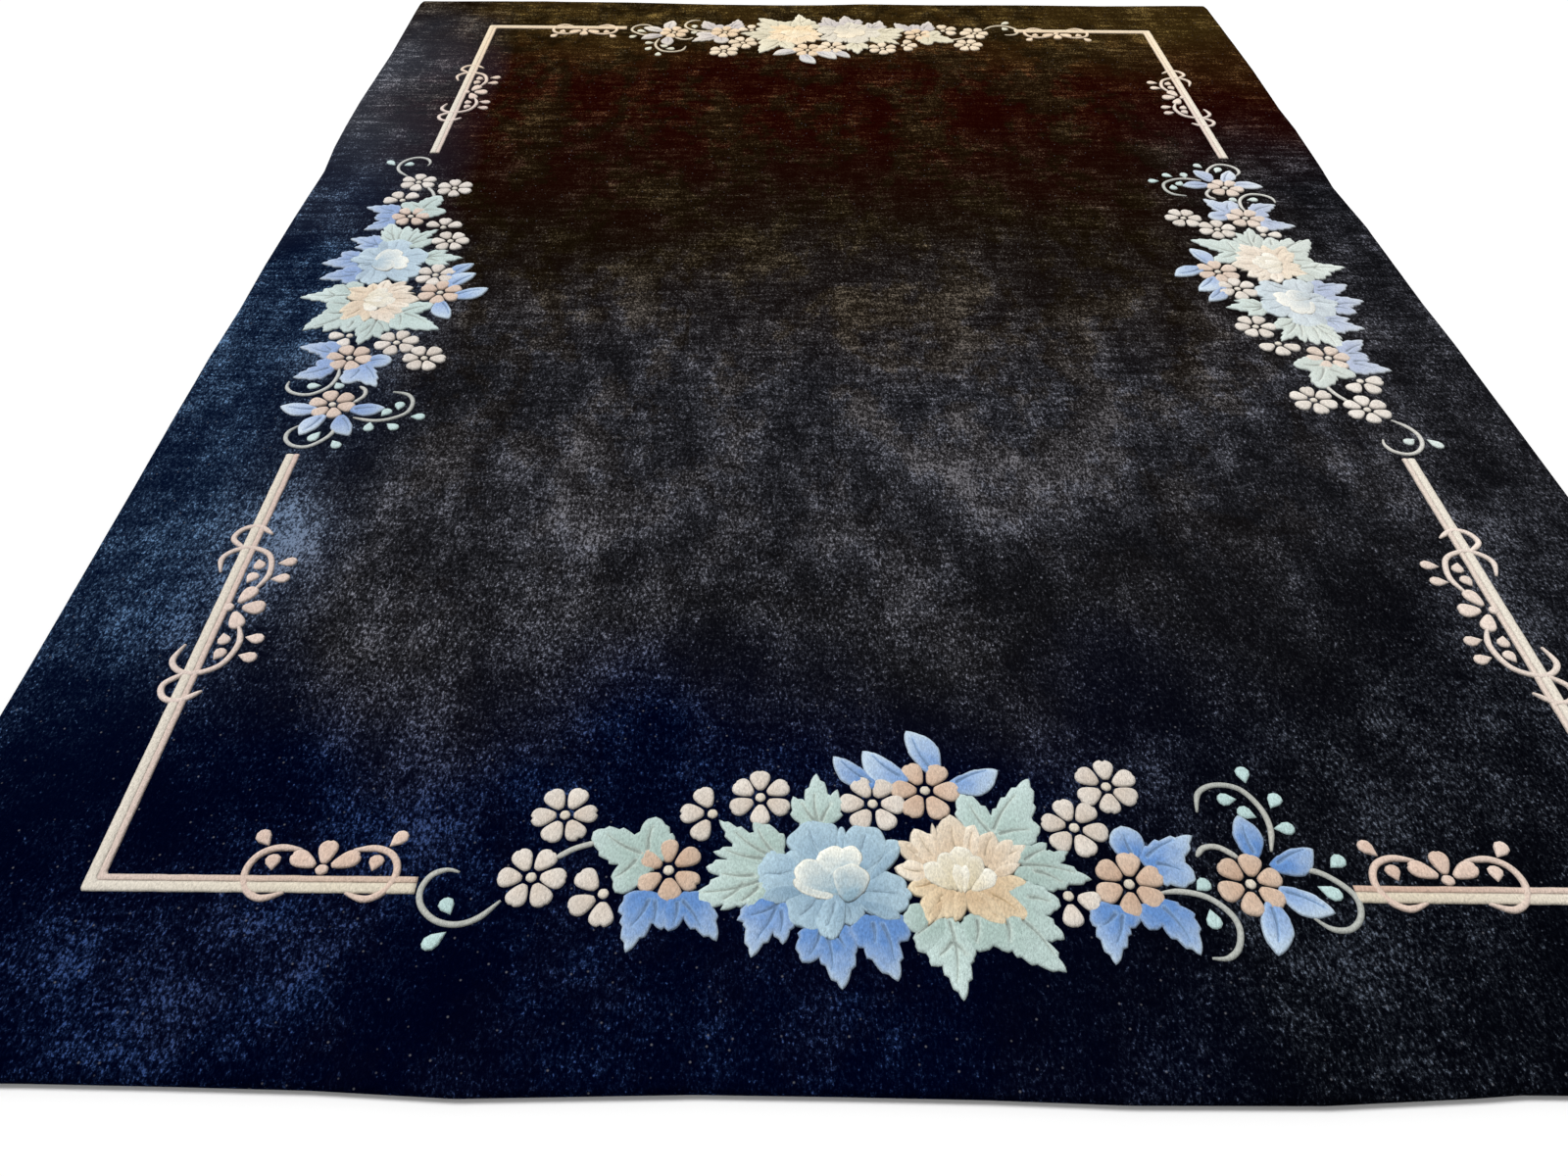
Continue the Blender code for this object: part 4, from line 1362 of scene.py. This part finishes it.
def carved_material(name, group, root, tip, vein_colour, rim_shade):
    """Coloured wool of one kind of carved island."""
    material, tree, shader = plain_material(name, 0.85, 0.15)
    shader.inputs["Sheen Weight"].default_value = 0.05
    shader.inputs["Sheen Roughness"].default_value = 0.5
    wool = tree.nodes.new("ShaderNodeGroup")
    wool.node_tree = group
    for socket, value in (("Root", root), ("Tip", tip), ("Vein", vein_colour)):
        wool.inputs[socket].default_value = linear(value)
    wool.inputs["Rim shade"].default_value = rim_shade
    put_on(tree, shader, wool.outputs["Color"], wool.outputs["Height"], 0.75, 0.0016)
    return material


def tone_ramp(tree, value, tones):
    """Deep colour and painted-sheen colour of the pile from a table of tones along the mat."""
    where = spread(tree, value, -TONES_REACH, TONES_REACH, 0.0, 1.0)
    colours = []
    for column in (0, 1):
        ramp = tree.nodes.new("ShaderNodeValToRGB")
        while len(ramp.color_ramp.elements) < len(tones):
            ramp.color_ramp.elements.new(0.5)
        for element, (reach, tone) in zip(ramp.color_ramp.elements, tones):
            element.position = (reach + TONES_REACH) / (2 * TONES_REACH)
            element.color = linear(PILE_TONES[tone][column])
        tree.links.new(where, ramp.inputs[0])
        colours.append(ramp.outputs[0])
    return colours


def ground_tones(tree, lengthwise, sideways, patches):
    """Deep colour and painted-sheen colour of the dark pile, with olive spots and other sides."""
    deep, lit = tone_ramp(tree, lengthwise, FIELD_TONES)
    spots = spread(tree, noise_at(tree, patches, 4.2, 7.0, 0.74), 0.49, 0.54, 0.0, 0.75)
    spots = product(tree, spots, spread(tree, lengthwise, -1.1, 0.3, 0.1, 1.0))
    deep_olive, lit_olive = PILE_TONES["olive"]
    deep = mix_colour(tree, spots, deep, linear(deep_olive))
    lit = mix_colour(tree, spots, lit, linear(lit_olive))
    left = total(tree, sideways, spread(tree, lengthwise, 0.2, 1.2, 0.0, 0.12))
    right = total(tree, sideways, spread(tree, lengthwise, -1.5, -0.8, 0.75, 0.0))
    on_left = spread(tree, left, -1.20, -0.88, 1.0, 0.0)
    on_right = spread(tree, right, 0.80, 1.25, 0.0, 1.0)
    for mask, tones in ((on_left, LEFT_TONES), (on_right, RIGHT_TONES)):
        side_deep, side_lit = tone_ramp(tree, lengthwise, tones)
        deep = mix_colour(tree, mask, deep, side_deep)
        lit = mix_colour(tree, mask, lit, side_lit)
    return deep, lit


def ground_light(tree, place, wander, lengthwise, patches, fibre):
    """Painted sheen and shade on the dark pile, with the grain of its tufts, before its exponent:
    noises of many sizes, then patches.
    """
    far = spread(tree, lengthwise, -1.0, 0.8, 0.2, 1.0)
    middle = spread(tree, lengthwise, -1.40, -0.85, 0.0, 1.0)
    mottle = noise_at(tree, patches, 4.0, 8.0, 0.76)
    glint = noise_at(tree, place, 250.0, 1.0, 0.5)
    light = swing(tree, mottle, spread(tree, lengthwise, -0.4, 0.6, 10.5, 12.5))
    light = total(tree, light, spread(tree, glint, 0.58, 0.74, 0.0, 2.0))
    for share, value in (
        (5.0, noise_at(tree, place, 120.0, 2.0, 1.0)),
        (product(tree, far, 15.0), sheen_strokes(tree, place, CROSSWISE)),
        (product(tree, middle, 3.0), sheen_strokes(tree, place, LENGTHWISE)),
        (product(tree, middle, 4.5), sheen_strokes(tree, place, BROAD)),
        (5.4, fibre),
    ):
        light = total(tree, light, swing(tree, value, share))
    bent = add_node(tree, "ShaderNodeVectorMath", operation="ADD")
    tree.links.new(place, bent.inputs[0])
    tree.links.new(wander, bent.inputs[1])
    # Patches of painted sheen, and of painted shade where their light is below nought
    for x, y, radius, brightness in SHEEN_PATCHES:
        gap = add_node(tree, "ShaderNodeVectorMath", operation="DISTANCE")
        tree.links.new(bent.outputs[0], gap.inputs[0])
        gap.inputs[1].default_value = (x, y, 0.0)
        patch = spread(tree, gap.outputs["Value"], radius * 0.2, radius, brightness, 0.0)
        light = total(tree, light, patch)
    light = product(tree, light, spread(tree, middle, 0.0, 1.0, 1.2, 0.88))
    light = total(tree, light, spread(tree, middle, 0.0, 1.0, -3.35, -1.9))
    light = total(tree, light, spread(tree, lengthwise, -0.2, 0.4, 0.0, -1.25))
    return total(tree, light, spread(tree, lengthwise, 0.9, 1.5, 0.0, 0.5))


def ground_material(grain):
    """Near-black navy pile with patches of painted sheen in blue, grey and brown."""
    material, tree, shader = plain_material("pile_navy", 0.9, 0.0)
    wool = tufts_of(tree, grain, 0.0046)
    place, axes = place_on_piece(tree)
    wander = swing(tree, noise_at(tree, place, 1.7, 2.0, 0.5), 0.7)
    lengthwise = total(tree, axes[1], wander)
    sideways = total(tree, axes[0], product(tree, wander, 0.5))
    patches = stretched(tree, place, PATCH_STRETCH)
    deep, lit = ground_tones(tree, lengthwise, sideways, patches)
    light = ground_light(tree, place, wander, lengthwise, patches, wool["Fibre"])
    light = math_node(tree, "EXPONENT", light, 0.0)
    # Painted sheen: the more light, the nearer the colour comes to the lit colour of the pile
    sheen_share = spread(tree, light, 0.0, FULL_SHEEN_LIGHT, 0.0, 1.0)
    lit = mix_colour(tree, 1.0, lit, (*[FULL_SHEEN_LIGHT] * 3, 1.0), "MULTIPLY")
    colour = mix_colour(tree, sheen_share, deep, lit)
    flecks = add_node(tree, "ShaderNodeTexVoronoi", Scale=48.0, Randomness=1.0)
    tree.links.new(place, flecks.inputs["Vector"])
    lint = spread(tree, flecks.outputs["Distance"], 0.03, 0.10, 0.35, 0.0)
    colour = mix_colour(tree, lint, colour, linear((150, 150, 158)))
    put_on(tree, shader, colour, wool["Height"], 0.9, 0.002)
    return material


def canvas_material(grain):
    """Pale cotton canvas on the back."""
    material, tree, shader = plain_material("backing_canvas", 0.95, 0.2)
    yarn = tufts_of(tree, grain, 0.0020)
    colour = mix_colour(tree, yarn["Clump"], linear((186, 170, 140)), linear((208, 194, 166)))
    threads = product(tree, yarn["Fibre"], 0.3)
    colour = mix_colour(tree, threads, colour, linear((150, 134, 106)))
    put_on(tree, shader, colour, yarn["Height"], 0.5, 0.001)
    return material


def floor():
    """Plain pale floor."""
    work = bmesh.new()
    bmesh.ops.create_grid(work, x_segments=1, y_segments=1, size=30)
    mesh = bpy.data.meshes.new("floor")
    work.to_mesh(mesh)
    work.free()
    plane = bpy.data.objects.new("floor", mesh)
    bpy.context.scene.collection.objects.link(plane)
    material = bpy.data.materials.new("floor_white")
    material.use_nodes = True
    shader = material.node_tree.nodes["Principled BSDF"]
    shader.inputs["Base Color"].default_value = FLOOR_COLOUR
    shader.inputs["Roughness"].default_value = 0.9
    mesh.materials.append(material)


def lights():
    """Soft light of a wide window at the far left, with a pale room around."""
    world = bpy.data.worlds.new("studio")
    bpy.context.scene.world = world
    world.use_nodes = True
    backdrop = world.node_tree.nodes["Background"]
    backdrop.inputs["Color"].default_value = (1.0, 1.0, 1.0, 1)
    backdrop.inputs["Strength"].default_value = ROOM_LIGHT
    data = bpy.data.lights.new("window", "SUN")
    data.energy = WINDOW_LIGHT
    data.angle = math.radians(WINDOW_WIDTH)
    window = bpy.data.objects.new("window", data)
    window.rotation_euler = Vector(WINDOW_PLACE).to_track_quat("Z", "Y").to_euler()
    bpy.context.scene.collection.objects.link(window)
    data = bpy.data.lights.new("far_wall", "AREA")
    data.size = WALL_SIZE
    data.energy = WALL_LIGHT
    wall = bpy.data.objects.new("far_wall", data)
    wall.location = WALL_PLACE
    wall.rotation_euler = Vector(WALL_AIM).to_track_quat("Z", "Y").to_euler()
    bpy.context.scene.collection.objects.link(wall)


def camera():
    """Camera as a person holds it over the near edge."""
    pitch = math.radians(CAMERA_PITCH)
    yaw = math.radians(CAMERA_YAW)
    roll = math.radians(CAMERA_ROLL)
    level = Vector((math.sin(yaw), math.cos(yaw), 0))
    right = Vector((math.cos(yaw), -math.sin(yaw), 0))
    forward = level * math.cos(pitch) - Vector((0, 0, 1)) * math.sin(pitch)
    up = level * math.sin(pitch) + Vector((0, 0, 1)) * math.cos(pitch)
    across = right * math.cos(roll) + up * math.sin(roll)
    upright = up * math.cos(roll) - right * math.sin(roll)
    data = bpy.data.cameras.new("camera")
    data.lens = CAMERA_LENS
    data.sensor_width = 36
    data.clip_end = 100
    view = bpy.data.objects.new("camera", data)
    turn = Matrix((across, upright, -forward)).transposed().to_4x4()
    view.matrix_world = Matrix.Translation(CAMERA_PLACE) @ turn
    bpy.context.scene.collection.objects.link(view)
    bpy.context.scene.camera = view


def dress():
    """All pieces of the rug."""
    grain = wool_grain()
    group = carved_colour(grain)
    wools = {name: carved_material(name, group, *row) for name, row in WOOLS.items()}
    ground = pile_ground(ground_material(grain), canvas_material(grain))
    pieces = []
    for name, wool, build, given in (
        ("blossoms_pale", "wool_pale_rose", blossoms, (PALE_BLOSSOMS, 1)),
        ("blossoms_peach", "wool_peach", blossoms, (PEACH_BLOSSOMS, 2)),
        ("blossom_hearts", "wool_heart", blossom_hearts, ()),
        ("leaves_mint", "wool_mint", leaves, (MINT_LEAVES, 3)),
        ("leaves_blue", "wool_blue", leaves, (BLUE_LEAVES, 4)),
        ("tendrils", "wool_stalk", tendrils, ()),
        ("drops", "wool_drop", drops, ()),
        ("blue_peony", "wool_sky", fan_petals, (SKY_PETALS, 5)),
        ("blue_peony_bud", "wool_sky_ivory", sky_bud, ()),
        ("cream_peony", "wool_cream", pointed_petals, (CREAM_PETALS, 8)),
        ("cream_peony_low", "wool_tan", pointed_petals, (TAN_PETALS, 10)),
        ("cream_peony_bud", "wool_bud", fan_petals, (CREAM_BUD_PETALS, 9)),
    ):
        pieces.append(on_all_sides(build(*given), name, wools[wool]))
    pieces += all_scrolls(wools["wool_rose"])
    for name, wool, near_side, far_side in STRIPES:
        pieces.append(stripe(name, near_side, far_side, wools[wool]))


bpy.context.scene.view_settings.view_transform = "Standard"
camera()
floor()
lights()
dress()
bpy.context.view_layer.update()
